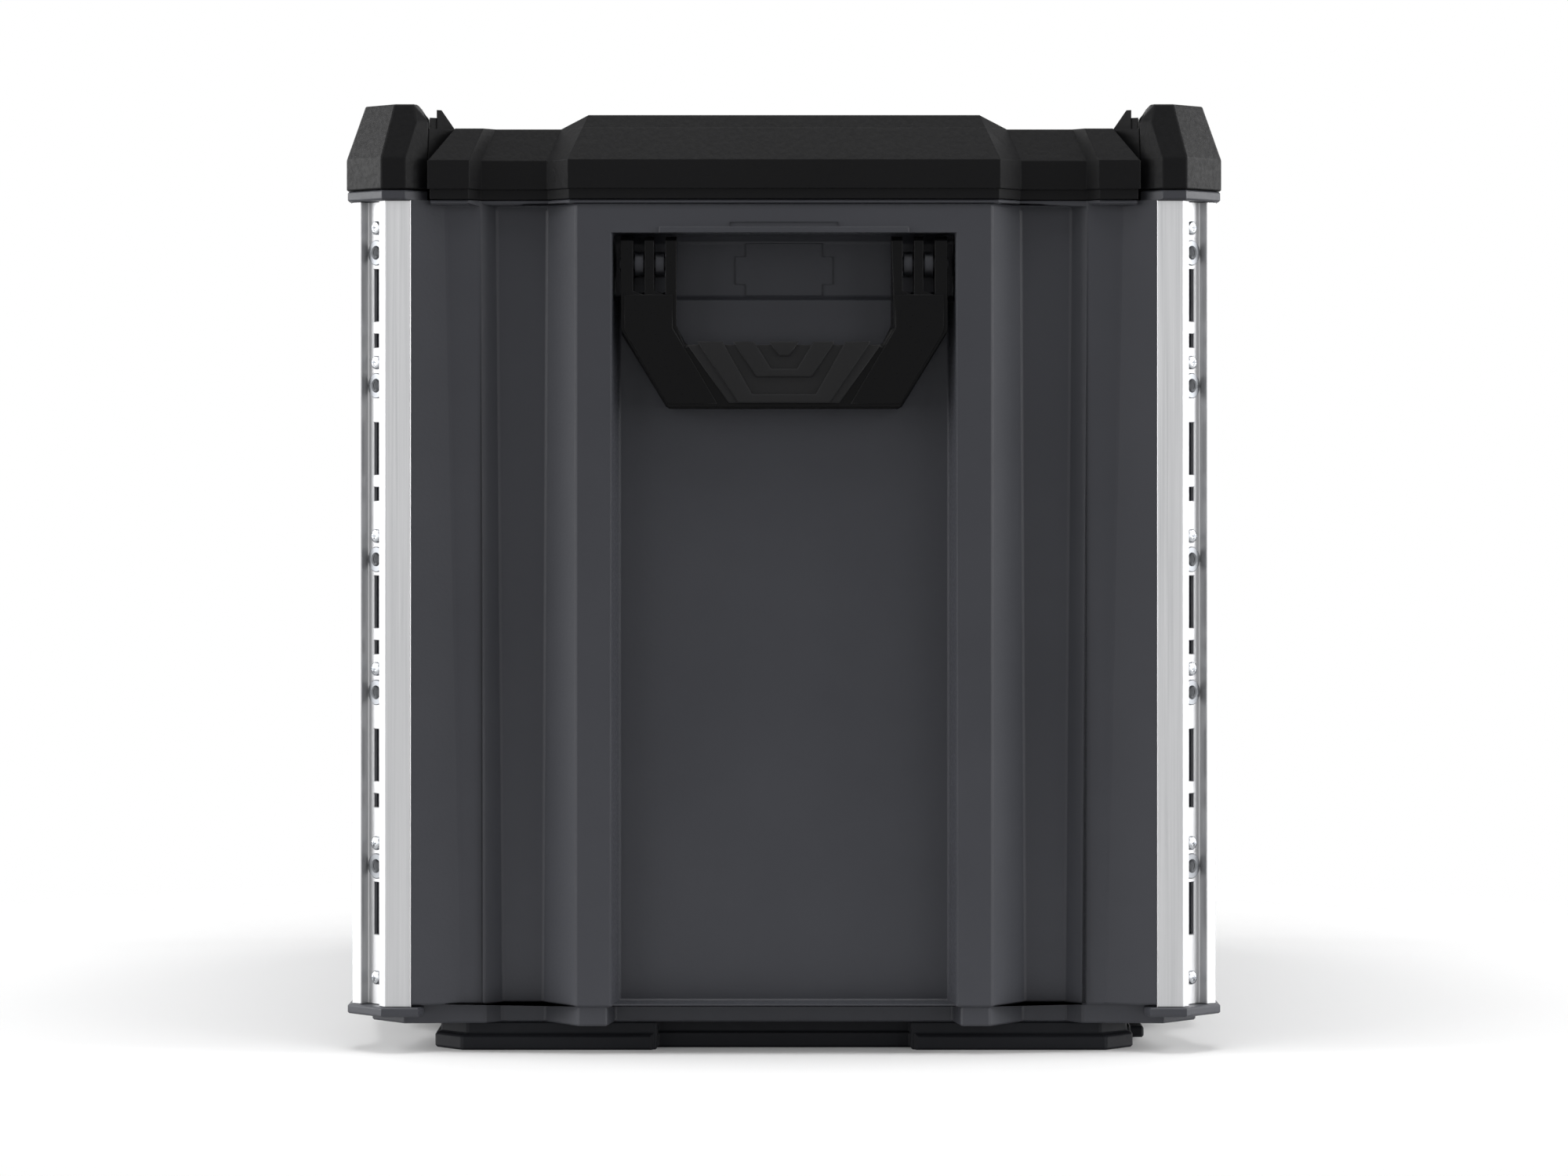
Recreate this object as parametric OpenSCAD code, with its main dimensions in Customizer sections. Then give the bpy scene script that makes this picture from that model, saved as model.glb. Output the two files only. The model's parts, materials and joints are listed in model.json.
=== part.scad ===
// Stackable tool chest: a ribbed tub with a hinged lid, four slotted corner
// rails, two swinging carry handles and two front latches.
// Axes: +Z up, -X the latch side, +X the hinge side, -Y and +Y the handle ends.

/* [Chest] */
// Distance between the side planes of the corner towers
chest_w = 400; // [390:5:440]
// Distance between the outermost faces of the two ends
chest_l = 560; // [540:5:640]
// Height from the floor to the top of the corner towers
chest_h = 432; // [400:2:470]
// Thickness of the tub wall and floor
tub_wall = 3.6; // [3:0.1:4]
// How far the ribs of the two ends stand out past the corner towers
rib_proud = 4; // [2:0.5:6]

/* [Tub walls] */
// Depth of the lid skirt's face in front of the tub's ribs
skirt_overhang = 2; // [1.8:0.1:2.6]
// Start of the outer panel, measured from the side plane of a corner tower
outer_panel_from = 46; // [44:0.5:48]
// Width of the outer panel at the rim
outer_panel_w = 15.8; // [14:0.2:18]
// Depth of the outer panel behind the tower plane
outer_panel_d = 8; // [7:0.5:9]
// Width of the slanted step between the outer and the inner panel
step_w = 7.2; // [6:0.2:9]
// Width of the inner panel at the rim
inner_panel_w = 22.9; // [20:0.2:25]
// Depth of the inner panel behind the tower plane
inner_panel_d = 14.5; // [13.5:0.5:15.5]
// Width of the slanted flank of a main rib
rib_flank_w = 13.7; // [12:0.2:15]
// How much deeper the outer panel lies at the base than at the rim
panel_draft = 2.5; // [1:0.1:3]
// Half width of the middle recess in the long sides at its floor
side_recess_half = 80; // [70:1:90]
// Width of the steep flank of a middle recess
recess_flank_w = 3.3; // [3:0.1:4]
// Depth of the middle recess behind the tower plane
recess_d = 14; // [13.5:0.5:15]
// Height of the wall band above each middle recess
recess_head = 15; // [14:0.5:18]

/* [Base] */
// Height of the stacking base
base_h = 13; // [11:0.5:15]
// Height of the band at the foot of the walls
band_h = 9; // [8:0.5:12]
// How far the band stands back from the walls
band_in = 2; // [1:0.5:3]
// Thickness of the corner flanges under the rails
base_flange_t = 4.3; // [3:0.1:5]
// Distance of the stacking base from the side tower planes
base_side_in = 39.5; // [39.5:0.5:44]
// Distance of the stacking base from the end tower planes
base_end_in = 18; // [18:0.5:22]
// Length of a foot along an end
foot_w = 100; // [90:1:110]
// Length of a foot along a long side
foot_l = 120; // [100:5:150]
// Depth of the setback between two feet
foot_setback = 10; // [6:1:12]
// Width of the ring of the stacking base
base_ring_w = 26; // [20:1:30]
// Height of the lower lip of a foot
foot_lip_h = 6.8; // [5:0.1:8]
// Corner chamfer of the stacking base
base_chamfer = 13; // [10:1:16]

/* [Corner rails] */
// Length of a rail's leg
rail_leg = 28; // [27:0.5:29]
// Wall thickness of a rail
rail_t = 2.2; // [1.8:0.1:2.4]
// Distance of a rail behind the tower planes
rail_inset = 2.5; // [2:0.1:3]
// Distance from the outer corner to the mouth of the channel
rail_mouth = 16; // [15:0.2:16.6]
// Width of the channel
channel_w = 12.5; // [12.2:0.1:13]
// Depth of the channel's straight sides
channel_d = 4.5; // [3.5:0.1:5]
// Diagonal distance from the outer corner to the channel floor
channel_floor = 16.8; // [16.4:0.1:17]
// Pitch of the slot pattern
slot_pitch = 70; // [68:1:80]
// Length of a long slot
slot_long = 23.8; // [20:0.2:26]
// Length of a short slot
slot_short = 6.2; // [5:0.2:7]
// Width of the slots
slot_w = 5.2; // [3:0.1:5.6]
// Thread size of the rail inserts
insert_thread = 6; // [5:1:6]
// Diameter of an insert's flange
insert_flange = 11.7; // [10.5:0.1:11.8]
// Diameter of an insert's body
insert_body = 9; // [8:0.5:9.5]
// Length of an insert's body
insert_l = 11; // [8:0.5:12]
// Diameter of a rail screw's head
screw_head = 6.5; // [6:0.1:7.5]
// Diameter of a rail screw's shank
screw_shank = 4; // [3.5:0.1:4.5]
// Length of a rail screw's shank
screw_l = 12; // [8:0.5:12]

/* [Lid] */
// Height of the corner towers above the lid seam
tower_h = 39; // [37:1:42]
// Height of the lid's upright skirt
skirt_h = 13; // [12:0.5:15]
// Height of the lid's low rim above the seam
plateau_h = 28; // [27:0.5:30]
// Height of the lid's crowns above the seam
crown_h = 34; // [33:0.5:36]
// Height of the deck above the seam
deck_h = 22; // [21:0.5:24]
// Thickness of the deck
deck_t = 4; // [3:0.5:5]
// Width of a corner tower
tower_w = 38.1; // [37.6:0.1:38.6]
// Chamfer across the outer corner of a tower
tower_chamfer = 17.2; // [16:0.2:18]
// How far the tower's faces lean in at the top
tower_lean = 8.2; // [6:0.2:9]
// Height of the upright foot of a tower
tower_foot_h = 14; // [12:0.5:16]
// Thickness of the lid's lower lip
lip_t = 1.8; // [1.6:0.1:2]
// Thickness of the tub's sealing tongue
tongue_t = 2.2; // [2:0.1:2.4]

/* [Handles] */
// Outer width of a handle
handle_w = 148.4; // [144:0.2:149]
// Clearance on each side between a handle and its recess
handle_side = 1; // [0.8:0.1:2.5]
// Width of a handle's arm
arm_w = 25.4; // [24:0.2:27]
// Thickness of a handle
handle_t = 14; // [12:0.5:14]
// Height from the handle's pin down to its lower edge
handle_drop = 66; // [62:1:75]
// Height of the grip bar
grip_h = 28.8; // [26:0.2:30]
// Reach of the handle's knuckles above the pin
knuckle_r = 12.4; // [11:0.2:12.6]
// Diameter of a handle pin
handle_pin_d = 6.4; // [5.6:0.2:7]
// Distance of the handle's front face behind the outermost end face
handle_front = 4; // [3:0.5:5]
// Width of a knuckle slot
lug_slot_w = 5.2; // [5:0.1:5.6]
// Distance from an arm's outer edge to its first knuckle slot
lug_slot_from = 5.8; // [5:0.1:6]
// Spacing of the knuckle slots
lug_slot_pitch = 9.4; // [9:0.1:10]
// Side play of a tub lug in its slot
lug_play = 0.6; // [0.4:0.05:0.8]
// Thickness of the grip pad
pad_t = 1.2; // [1:0.1:1.6]
// Height of the grip pad's raised bands
pad_band_t = 1.2; // [0.8:0.1:1.6]
// Largest swing of a handle, in degrees
handle_swing = 100; // [80:5:110]

/* [Hinges and latches] */
// Distance of the hinges and latches from the middle of the long sides
fitting_y = 127; // [118:1:132]
// Width of a hinge
hinge_w = 60; // [50:1:64]
// Width of a hinge's outer knuckles
hinge_lug_w = 12; // [10:0.5:14]
// Distance of the hinge pin outside the tower plane
hinge_out = 1.5; // [1.5:0.1:2]
// Radius of the hinge knuckles
hinge_r = 4.5; // [4:0.1:4.5]
// Diameter of the hinge pins
hinge_pin_d = 4; // [3:0.5:4.5]
// Width of a latch lever
latch_w = 50; // [44:1:54]
// Length of a latch lever below its pin
latch_drop = 56; // [50:1:64]
// Thickness of a latch lever
latch_t = 4.5; // [4:0.1:4.5]
// Height of the latch pin above the lid seam
latch_pin_h = 8; // [7:0.5:8.5]
// Diameter of the latch pins
latch_pin_d = 3; // [2.5:0.5:3]
// Width of a latch ear
latch_ear_w = 5; // [4:0.5:7]

/* [Clearances] */
// Radial play of a pin in a moving knuckle
pin_play = 0.05; // [0.02:0.01:0.08]
// Gap between faces of two moving pieces
gap = 0.4; // [0.3:0.05:0.5]
// Gap between a rail and its seat on the tub
rail_fit = 0.1; // [0.05:0.05:0.2]

/* [Hidden] */
$fn = 48;

NEAR = -1;
FAR = 1;
FRONT = -1;
REAR = 1;
tub_grey = "#4A4B50";
black = "#1E1E1F";
soft_black = "#161617";
metal = "#C9CACC";
steel = "#9A9C9F";
eps = 0.01;

// Tower planes: half the width, and half the length less the proud ribs
half_w = chest_w / 2;
half_l = chest_l / 2 - rib_proud;

// Heights
seam_z = chest_h - tower_h;
top_flange_t = 5;
rail_top = seam_z - top_flange_t;
wall_z = base_h + band_h;
rail_z = wall_z - 0.7;
rail_len = rail_top - rail_z;
recess_top = rail_top - recess_head;
rim_plate_t = 2;
rim_z = rail_top + gap;
tongue_top = seam_z + 3.1;
crease_z = seam_z + skirt_h;
deck_z = seam_z + deck_h;

// Two points on the diagonal of a corner: sideways and along the diagonal
function diag(side, along) = [(along + side) / sqrt(2), (along - side) / sqrt(2)];

// Depth of a side's outermost face behind the tower plane: proud on the ends
function crown_d(on_end) = on_end ? -rib_proud : 0;

// Half width of the end's middle recess at its floor
end_recess_half = handle_w / 2 + handle_side;

// Half of a tub side, from the corner to the main rib, as [along, depth]
rail_end = rail_inset + rail_leg + rail_fit;
shoulder_d = rail_inset + gap;
outer_panel_to = outer_panel_from + outer_panel_w;
inner_panel_from = outer_panel_to + step_w;
inner_panel_to = inner_panel_from + inner_panel_w;
// How far a flank runs along the side for each millimetre of depth
rail_run = (outer_panel_from - rail_end) / (outer_panel_d - shoulder_d);
step_run = step_w / (inner_panel_d - outer_panel_d);
function rib_run(on_end) = rib_flank_w / (inner_panel_d - skirt_overhang - crown_d(on_end));

// draft is how much deeper the two panels lie than at the rim
function tub_half(on_end, draft) = [
    [outer_panel_from + rail_run * draft, outer_panel_d + draft],
    [outer_panel_to + step_run * draft, outer_panel_d + draft],
    [inner_panel_from + step_run * draft, inner_panel_d + draft],
    [inner_panel_to - rib_run(on_end) * draft, inner_panel_d + draft],
    [inner_panel_to + rib_flank_w, crown_d(on_end) + skirt_overhang]];

// The corner of the tub, where it carries the rail
rail_back = rail_inset + rail_t + rail_fit;
rail_corner = [
    diag(channel_w / 2 + rail_t + rail_fit, channel_floor + rail_t + rail_fit + rail_inset * sqrt(2)),
    [rail_inset + rail_mouth + 2 * rail_t + rail_fit, rail_back],
    [rail_end, rail_back],
    [rail_end, shoulder_d]];
band_corner = [[26, 9]];
post_corner = [diag(14, 33)];

// One whole side, then the closed outline of four sides, counterclockwise
function whole_side(points, half) = concat(
    [for (p = points) [p[0] - half, p[1]]],
    [for (i = [len(points) - 1:-1:0]) [half - points[i][0], points[i][1]]]);
function four_sides(end_points, side_points) = concat(
    [for (p = whole_side(end_points, half_w)) [p[0], p[1] - half_l]],
    [for (p = whole_side(side_points, half_l)) [half_w - p[1], p[0]]],
    [for (p = whole_side(end_points, half_w)) [-p[0], half_l - p[1]]],
    [for (p = whole_side(side_points, half_l)) [p[1] - half_w, -p[0]]]);
function tub_outline(corner, draft) = four_sides(
    concat(corner, tub_half(true, draft)), concat(corner, tub_half(false, draft)));

// Move every edge of a closed counterclockwise outline inward by t
function left_normal(a, b) = let (d = b - a) [-d[1], d[0]] / norm(d);
function inset(points, t) = let (n = len(points)) [for (i = [0:n - 1])
    let (first = left_normal(points[(i + n - 1) % n], points[i]),
         second = left_normal(points[i], points[(i + 1) % n]))
    points[i] + t * (first + second) / (1 + first * second)];

// A solid through outlines of equal length, stacked at the given heights
module loft(rings, heights) {
    n = len(rings[0]);
    last = (len(rings) - 1) * n;
    polyhedron(
        points = [for (k = [0:len(rings) - 1]) for (p = rings[k]) [p[0], p[1], heights[k]]],
        faces = concat([[for (i = [0:n - 1]) i]], [[for (i = [n - 1:-1:0]) last + i]],
            [for (k = [0:n:last - 1]) for (i = [0:n - 1]) [k + i, k + n + i, k + (i + 1) % n]],
            [for (k = [0:n:last - 1]) for (i = [0:n - 1])
                [k + n + i, k + n + (i + 1) % n, k + (i + 1) % n]]));
}

module prism(points, z_low, z_high) {
    translate([0, 0, z_low]) linear_extrude(z_high - z_low) polygon(points);
}

// Draw in corner axes: the tower planes meet at the origin, inward is positive
module at_corner(x_side, y_side) {
    mirror([x_side == REAR ? 1 : 0, 0, 0])
    mirror([0, y_side == FAR ? 1 : 0, 0])
    translate([-half_w, -half_l, 0]) children();
}

module at_all_corners() {
    for (x_side = [FRONT, REAR], y_side = [NEAR, FAR]) at_corner(x_side, y_side) children();
}

// Draw for the near end, in place for either end
module at_end(y_side) {
    mirror([0, y_side == FAR ? 1 : 0, 0]) children();
}

// ---- Corner rails ----

channel_bottom = channel_floor + rail_inset * sqrt(2);
screw_at = [12.1, 73.5, 152.7, 213.4, 292.9, rail_len - 12.4];
insert_first = 23.4;
insert_step = 60.7;
insert_at = [for (row = [0:1]) for (pair = [0:1]) insert_first + row * insert_step + pair * 2 * slot_pitch];
last_insert = insert_first + 4 * slot_pitch;
long_slot_first = 42.8;
short_slot_first = 63.5;
slot_count = floor((rail_len - long_slot_first) / slot_pitch) + 1;
long_slot_at = [for (i = [0:slot_count - 1]) long_slot_first + slot_pitch * i];
short_slot_at = [for (i = [0:slot_count - 2]) short_slot_first + slot_pitch * i];

// Draw on the channel floor, facing out, at a distance below the rail's top
module on_channel(down) {
    translate([channel_bottom / sqrt(2), channel_bottom / sqrt(2), rail_top - down])
    rotate([0, -90, 45]) children();
}

module rail_section() {
    polygon([[rail_leg, 0], [rail_mouth, 0],
        diag(channel_w / 2, channel_floor - channel_d), diag(channel_w / 2, channel_floor),
        diag(-channel_w / 2, channel_floor), diag(-channel_w / 2, channel_floor - channel_d),
        [0, rail_mouth], [0, rail_leg], [rail_t, rail_leg], [rail_t, rail_mouth + rail_t],
        diag(-channel_w / 2 - rail_t, channel_floor - channel_d + rail_t),
        diag(-channel_w / 2 - rail_t, channel_floor + rail_t),
        diag(channel_w / 2 + rail_t, channel_floor + rail_t),
        diag(channel_w / 2 + rail_t, channel_floor - channel_d + rail_t),
        [rail_mouth + rail_t, rail_t], [rail_leg, rail_t]]);
}

module slot_cut(length) {
    translate([-length / 2, -slot_w / 2, -rail_t - 1]) cube([length, slot_w, rail_t + 2]);
}

module corner_rail(x_side, y_side) {
    color(metal) at_corner(x_side, y_side) difference() {
        translate([rail_inset, rail_inset, rail_z]) linear_extrude(rail_len) rail_section();
        for (down = long_slot_at) on_channel(down) slot_cut(slot_long);
        for (down = short_slot_at) on_channel(down) slot_cut(slot_short);
        for (down = screw_at) on_channel(down)
            translate([0, 0, -rail_t - 1]) cylinder(d = screw_shank, h = rail_t + 2);
        for (down = concat(insert_at, [last_insert])) on_channel(down)
            translate([0, 0, -rail_t - 1]) cylinder(d = insert_body, h = rail_t + 2);
    }
}

screw_head_h = 2.2;
module rail_screws(x_side, y_side) {
    color(steel) at_corner(x_side, y_side) for (down = screw_at) on_channel(down) {
        cylinder(d1 = screw_head, d2 = screw_head * 0.8, h = screw_head_h);
        translate([0, 0, -screw_l]) cylinder(d = screw_shank, h = screw_l + eps);
    }
}

insert_flange_t = 1;
module rail_inserts(x_side, y_side) {
    color(steel) at_corner(x_side, y_side) for (down = concat(insert_at, [last_insert])) on_channel(down)
        difference() {
            union() {
                cylinder(d = insert_flange, h = insert_flange_t);
                translate([0, 0, -insert_l]) cylinder(d = insert_body, h = insert_l + eps);
            }
            translate([0, 0, -insert_l + 1])
                cylinder(d = insert_thread - 1, h = insert_l + insert_flange_t);
        }
}

// ---- Tub ----

handle_pin_z = recess_top - knuckle_r - 1.4;
handle_pin_y = -chest_l / 2 + handle_front + handle_t / 2;
pocket_half = end_recess_half + recess_flank_w - 0.9;
pocket_d = handle_pin_y + half_l + knuckle_r + 0.6;
pocket_low = handle_pin_z - 17;
pocket_top_h = 3.5;
pocket_foot_h = 2.5;

// The pocket behind the handle's knuckles, seen from the side
function pocket_profile(grow) = [
    [-chest_l / 2 - 1, recess_top + grow],
    [-half_l + pocket_d - pocket_top_h, recess_top + grow],
    [-half_l + pocket_d + grow, recess_top - pocket_top_h],
    [-half_l + pocket_d + grow, pocket_low + pocket_foot_h],
    [-half_l + recess_d, pocket_low - grow],
    [-chest_l / 2 - 1, pocket_low - grow]];

module along_x(points, half) {
    translate([-half, 0, 0]) rotate([90, 0, 90]) linear_extrude(2 * half) polygon(points);
}

// The middle recess of a side, grown by t into the tub, in side axes
module recess_prism(on_end, t, z_low, z_high) {
    half = (on_end ? end_recess_half : side_recess_half) + t;
    outer = crown_d(on_end) - 1;
    depth = recess_d + panel_draft - 0.5 + t;
    flank = recess_flank_w * (depth - outer) / (recess_d - outer);
    prism([[-half - flank, outer], [half + flank, outer], [half, depth], [-half, depth]], z_low, z_high);
}

module on_each_side() {
    for (turn = [0, 180]) rotate([0, 0, turn]) translate([0, -half_l, 0]) children(0);
    for (turn = [90, -90]) rotate([0, 0, turn]) translate([0, -half_w, 0]) children(1);
}

// A panel's draft: a thin wedge that deepens the panel toward the foot.
// near_run and far_run are the slopes of the two flanks it runs into.
module draft_wedge(from, to, depth, near_run, far_run) {
    z_low = wall_z - 1;
    polyhedron(
        points = [[from, depth, rail_top - 4], [to, depth, rail_top - 4], [from, depth, z_low],
            [to, depth, z_low], [to + far_run * panel_draft, depth + panel_draft, z_low],
            [from + near_run * panel_draft, depth + panel_draft, z_low]],
        faces = [[0, 1, 3, 2], [1, 0, 5, 4], [0, 2, 5], [1, 4, 3], [2, 3, 4, 5]]);
}

module side_wedges(half, on_end) {
    for (side = [0, 1]) mirror([side, 0, 0]) translate([-half, 0, 0]) {
        draft_wedge(outer_panel_from, outer_panel_to, outer_panel_d, rail_run, step_run);
        draft_wedge(inner_panel_from, inner_panel_to, inner_panel_d, step_run, -rib_run(on_end));
    }
}

module tub_walls() {
    difference() {
        prism(tub_outline(rail_corner, 0), wall_z, rail_top);
        on_each_side() {
            recess_prism(true, 0, wall_z - 1, recess_top);
            recess_prism(false, 0, wall_z - 1, recess_top);
        }
        on_each_side() {
            side_wedges(half_w, true);
            side_wedges(half_l, false);
        }
    }
    tub_band();
}

// The band at the foot of the walls, which carries them over the base
module tub_band() {
    difference() {
        prism(inset(tub_outline(band_corner, panel_draft), band_in), base_h, wall_z + 1);
        on_each_side() {
            recess_prism(true, band_in, base_h - 1, wall_z);
            recess_prism(false, band_in, base_h - 1, wall_z);
        }
    }
}

module tub_cavity() {
    difference() {
        prism(inset(tub_outline(post_corner, panel_draft), tub_wall), base_h + tub_wall, rail_top + 1);
        on_each_side() {
            recess_prism(true, tub_wall, base_h, recess_top + tub_wall);
            recess_prism(false, tub_wall, base_h, recess_top + tub_wall);
        }
        for (y_side = [NEAR, FAR]) at_end(y_side) along_x(pocket_profile(tub_wall), pocket_half + tub_wall);
    }
}

// The lid's skirt seen from above. Each corner is notched for a tower.
lid_outer_end = 57;
lid_inner_from = 62.3;
lid_inner_to = 92.1;
lid_crown_from = 102;
lid_outer_d = 1;
lid_inner_d = 7;
function lid_half(on_end) = [[tower_w, lid_outer_d], [lid_outer_end, lid_outer_d],
    [lid_inner_from, lid_inner_d], [lid_inner_to, lid_inner_d], [lid_crown_from, crown_d(on_end)]];

// The foot of the crown where it meets the low rim, and the low rim's outer edge
lean = 8;
crown_lean = 12;
lean_side = 6;
function rim_half(on_end) =
    let (part = (plateau_h - skirt_h) / (crown_h - skirt_h))
    [[tower_w, lid_outer_d + lean], [lid_outer_end + lean_side, lid_outer_d + lean],
     [lid_inner_from + lean_side, lid_inner_d + lean], [lid_inner_to + lean_side, lid_inner_d + lean],
     [lid_crown_from + part * (lean_side + 3), crown_d(on_end) + part * crown_lean]];

// Four sides that each begin with the notched corner
function notched(points, corner, half) = concat([[corner - half, corner]], whole_side(points, half));
function lid_outline(end_points, side_points, corner) = concat(
    [for (p = notched(end_points, corner, half_w)) [p[0], p[1] - half_l]],
    [for (p = notched(side_points, corner, half_l)) [half_w - p[1], p[0]]],
    [for (p = notched(end_points, corner, half_w)) [-p[0], half_l - p[1]]],
    [for (p = notched(side_points, corner, half_l)) [p[1] - half_w, -p[0]]]);
skirt_outline = lid_outline(lid_half(true), lid_half(false), tower_w);
// Each tower's inner facet runs on in the lid, where it widens toward the low rim
facet_from = 27.9;
facet_d = 7;
facet_lean = 2;
facet_slope = 0.6;
facet_foot_run = 0.4;
facet_rim_run = 12.1;
function on_facet(x, leaned) = [x, facet_d + leaned * facet_lean + (x - tower_w) * facet_slope];
rim_outline = lid_outline(rim_half(true), rim_half(false), tower_w);
function facet_level(run, leaned) = [[tower_w - 1, -1], [tower_w + run, -1],
    on_facet(tower_w + run, leaned), on_facet(tower_w - 1, leaned)];
facet_part = [facet_level(facet_foot_run, 0), facet_level(facet_rim_run, 1)];
facet_cut = [facet_part[0], facet_part[1] + 0.1 * (facet_part[1] - facet_part[0])];
function swapped(points) = [for (i = [len(points) - 1:-1:0]) [points[i][1], points[i][0]]];
module facet_cuts() {
    heights = [crease_z, seam_z + plateau_h + 0.1 * (plateau_h - skirt_h)];
    loft(facet_cut, heights);
    loft([swapped(facet_cut[0]), swapped(facet_cut[1])], heights);
}

lip_in = 1;
tongue_in = lip_in + lip_t + 1;
groove_in = tongue_in - 0.4;
groove_w = tongue_t + 1;
cavity_in = 11;

module ring(t_out, t_in, z_low, z_high) {
    difference() {
        prism(inset(skirt_outline, t_out), z_low, z_high);
        prism(inset(skirt_outline, t_in), z_low - 1, z_high + 1);
    }
}

// The grey flange that closes each corner between the rail and its tower
tower_outline = [[tower_w, tower_w], [facet_d, tower_w], [0, facet_from], [0, tower_chamfer],
    [tower_chamfer, 0], [facet_from, 0], [tower_w, facet_d]];
module top_flange() {
    prism([[tower_w - gap, tower_w - gap], [facet_d + 0.5, tower_w - gap], [0.5, facet_from],
        [0.5, tower_chamfer + 0.3], [tower_chamfer + 0.3, 0.5], [facet_from, 0.5],
        [tower_w - gap, facet_d + 0.5]], rail_top, seam_z - gap);
}

module base_flange() {
    prism([[24, 24], [9, 36], [0.5, 34], [0.5, tower_chamfer], [tower_chamfer, 0.5], [34, 0.5], [36, 9]],
        wall_z - 0.7 - base_flange_t, rail_z);
}

// Two lugs on each side of an end's pocket fill the slots of the handle's knuckles
lug_w = lug_slot_w - 2 * lug_play;
lug_r = 5.5;
function slot_x(i) = handle_w / 2 - lug_slot_from - lug_slot_w / 2 - lug_slot_pitch * i;
module handle_lugs() {
    for (side = [-1, 1], i = [0:1]) translate([side * slot_x(i), 0, handle_pin_z]) {
        translate([-lug_w / 2, handle_pin_y, 0]) rotate([0, 90, 0]) cylinder(r = lug_r, h = lug_w);
        translate([-lug_w / 2, handle_pin_y, -lug_r])
            cube([lug_w, pocket_d - half_l - handle_pin_y + 1, 2 * lug_r]);
    }
}

module handle_pin_bore(diameter) {
    for (side = [-1, 1]) translate([side * (handle_w / 2 + 0.5), handle_pin_y, handle_pin_z])
        rotate([0, -side * 90, 0]) translate([0, 0, -1]) cylinder(d = diameter, h = arm_w + 2.5);
}

// The raised lip on the wall above a handle
raised_lip_w = 113;
raised_lip_h = 2.6;
raised_lip_t = 1.2;
module raised_lip() {
    translate([-raised_lip_w / 2, -chest_l / 2 + skirt_overhang - raised_lip_t, recess_top])
        cube([raised_lip_w, raised_lip_t + 1.8, raised_lip_h]);
}

module tub() {
    color(tub_grey) difference() {
        union() {
            difference() {
                union() {
                    tub_walls();
                    prism(inset(skirt_outline, lip_in + gap), rail_top - rim_plate_t, rail_top);
                }
                tub_cavity();
                for (y_side = [NEAR, FAR]) at_end(y_side) along_x(pocket_profile(0), pocket_half);
            }
            ring(tongue_in, tongue_in + tongue_t, rail_top - rim_plate_t, tongue_top);
            at_all_corners() top_flange();
            at_all_corners() base_flange();
            for (y_side = [NEAR, FAR]) at_end(y_side) handle_lugs();
            for (y_side = [NEAR, FAR]) at_end(y_side) raised_lip();
        }
        for (y_side = [NEAR, FAR]) at_end(y_side) handle_pin_bore(handle_pin_d);
        at_all_corners() for (down = screw_at) on_channel(down)
            translate([0, 0, -screw_l - 0.5]) cylinder(d = screw_shank, h = screw_l);
        at_all_corners() for (down = concat(insert_at, [last_insert])) on_channel(down)
            translate([0, 0, -insert_l - 0.5]) cylinder(d = insert_body, h = insert_l);
        for (y_side = [NEAR, FAR]) {
            hinge_relief(y_side);
            hinge_seat(y_side);
        }
    }
}

// Clears the rim behind the plates of a hinge's base
module hinge_seat(y_side) {
    translate([half_w - skirt_overhang, y_side * fitting_y - hinge_w / 2 - gap, rail_top - rim_plate_t - 1])
        cube([skirt_overhang, hinge_w + 2 * gap, rim_plate_t + 2]);
}

module base_outline(t) {
    x = half_w - base_side_in - t;
    y = half_l - base_end_in - t;
    c = base_chamfer;
    x_foot = x - foot_w;
    y_foot = y - foot_l;
    s = foot_setback;
    quarter = [[x_foot, -y + s], [x_foot, -y], [x - c, -y], [x, -y + c], [x, -y_foot], [x - s, -y_foot]];
    far_quarter = [for (i = [len(quarter) - 1:-1:0]) [quarter[i][0], -quarter[i][1]]];
    rear = concat(quarter, far_quarter);
    polygon(concat(rear, [for (i = [len(rear) - 1:-1:0]) [-rear[i][0], rear[i][1]]]));
}

// A short tongue that hooks a stack together on the hinge side
tongue_at = 220;
stack_tongue_w = 30;
stack_tongue_l = 7;
module stack_tongue() {
    translate([half_w - base_side_in - eps, -tongue_at, 1.4]) cube([stack_tongue_l, stack_tongue_w, 5.2]);
}

base_upper_in = 2.5;
module stacking_base() {
    color(tub_grey) {
        difference() {
            union() {
                linear_extrude(foot_lip_h) base_outline(0);
                linear_extrude(base_h) base_outline(base_upper_in);
            }
            translate([0, 0, base_h / 2]) cube([2 * (half_w - base_side_in - base_ring_w),
                2 * (half_l - base_end_in - base_ring_w), base_h + 2], center = true);
        }
        for (y_side = [NEAR, FAR]) at_end(y_side) stack_tongue();
    }
}

// ---- Lid ----

crown_seat = 0.1;
module crown(on_end) {
    half = on_end ? half_w : half_l;
    rim = rim_half(on_end);
    foot = rim[4];
    top = [lid_crown_from + lean_side + 3, crown_d(on_end) + crown_lean];
    back = on_end ? base_end_in - 1.5 : base_side_in - 1.5;
    low = [[rim[3][0] + crown_seat, rim[3][1] + crown_seat], [foot[0] + crown_seat, foot[1] + crown_seat]];
    high = [[top[0], top[1] + 2.5], top];
    hull() {
        prism(concat([[low[0][0] - half, back]], whole_side(low, half), [[half - low[0][0], back]]),
            seam_z + plateau_h - 1, seam_z + plateau_h);
        prism(concat([[high[0][0] - half, back]], whole_side(high, half), [[half - high[0][0], back]]),
            seam_z + crown_h - 0.5, seam_z + crown_h);
    }
}

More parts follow.
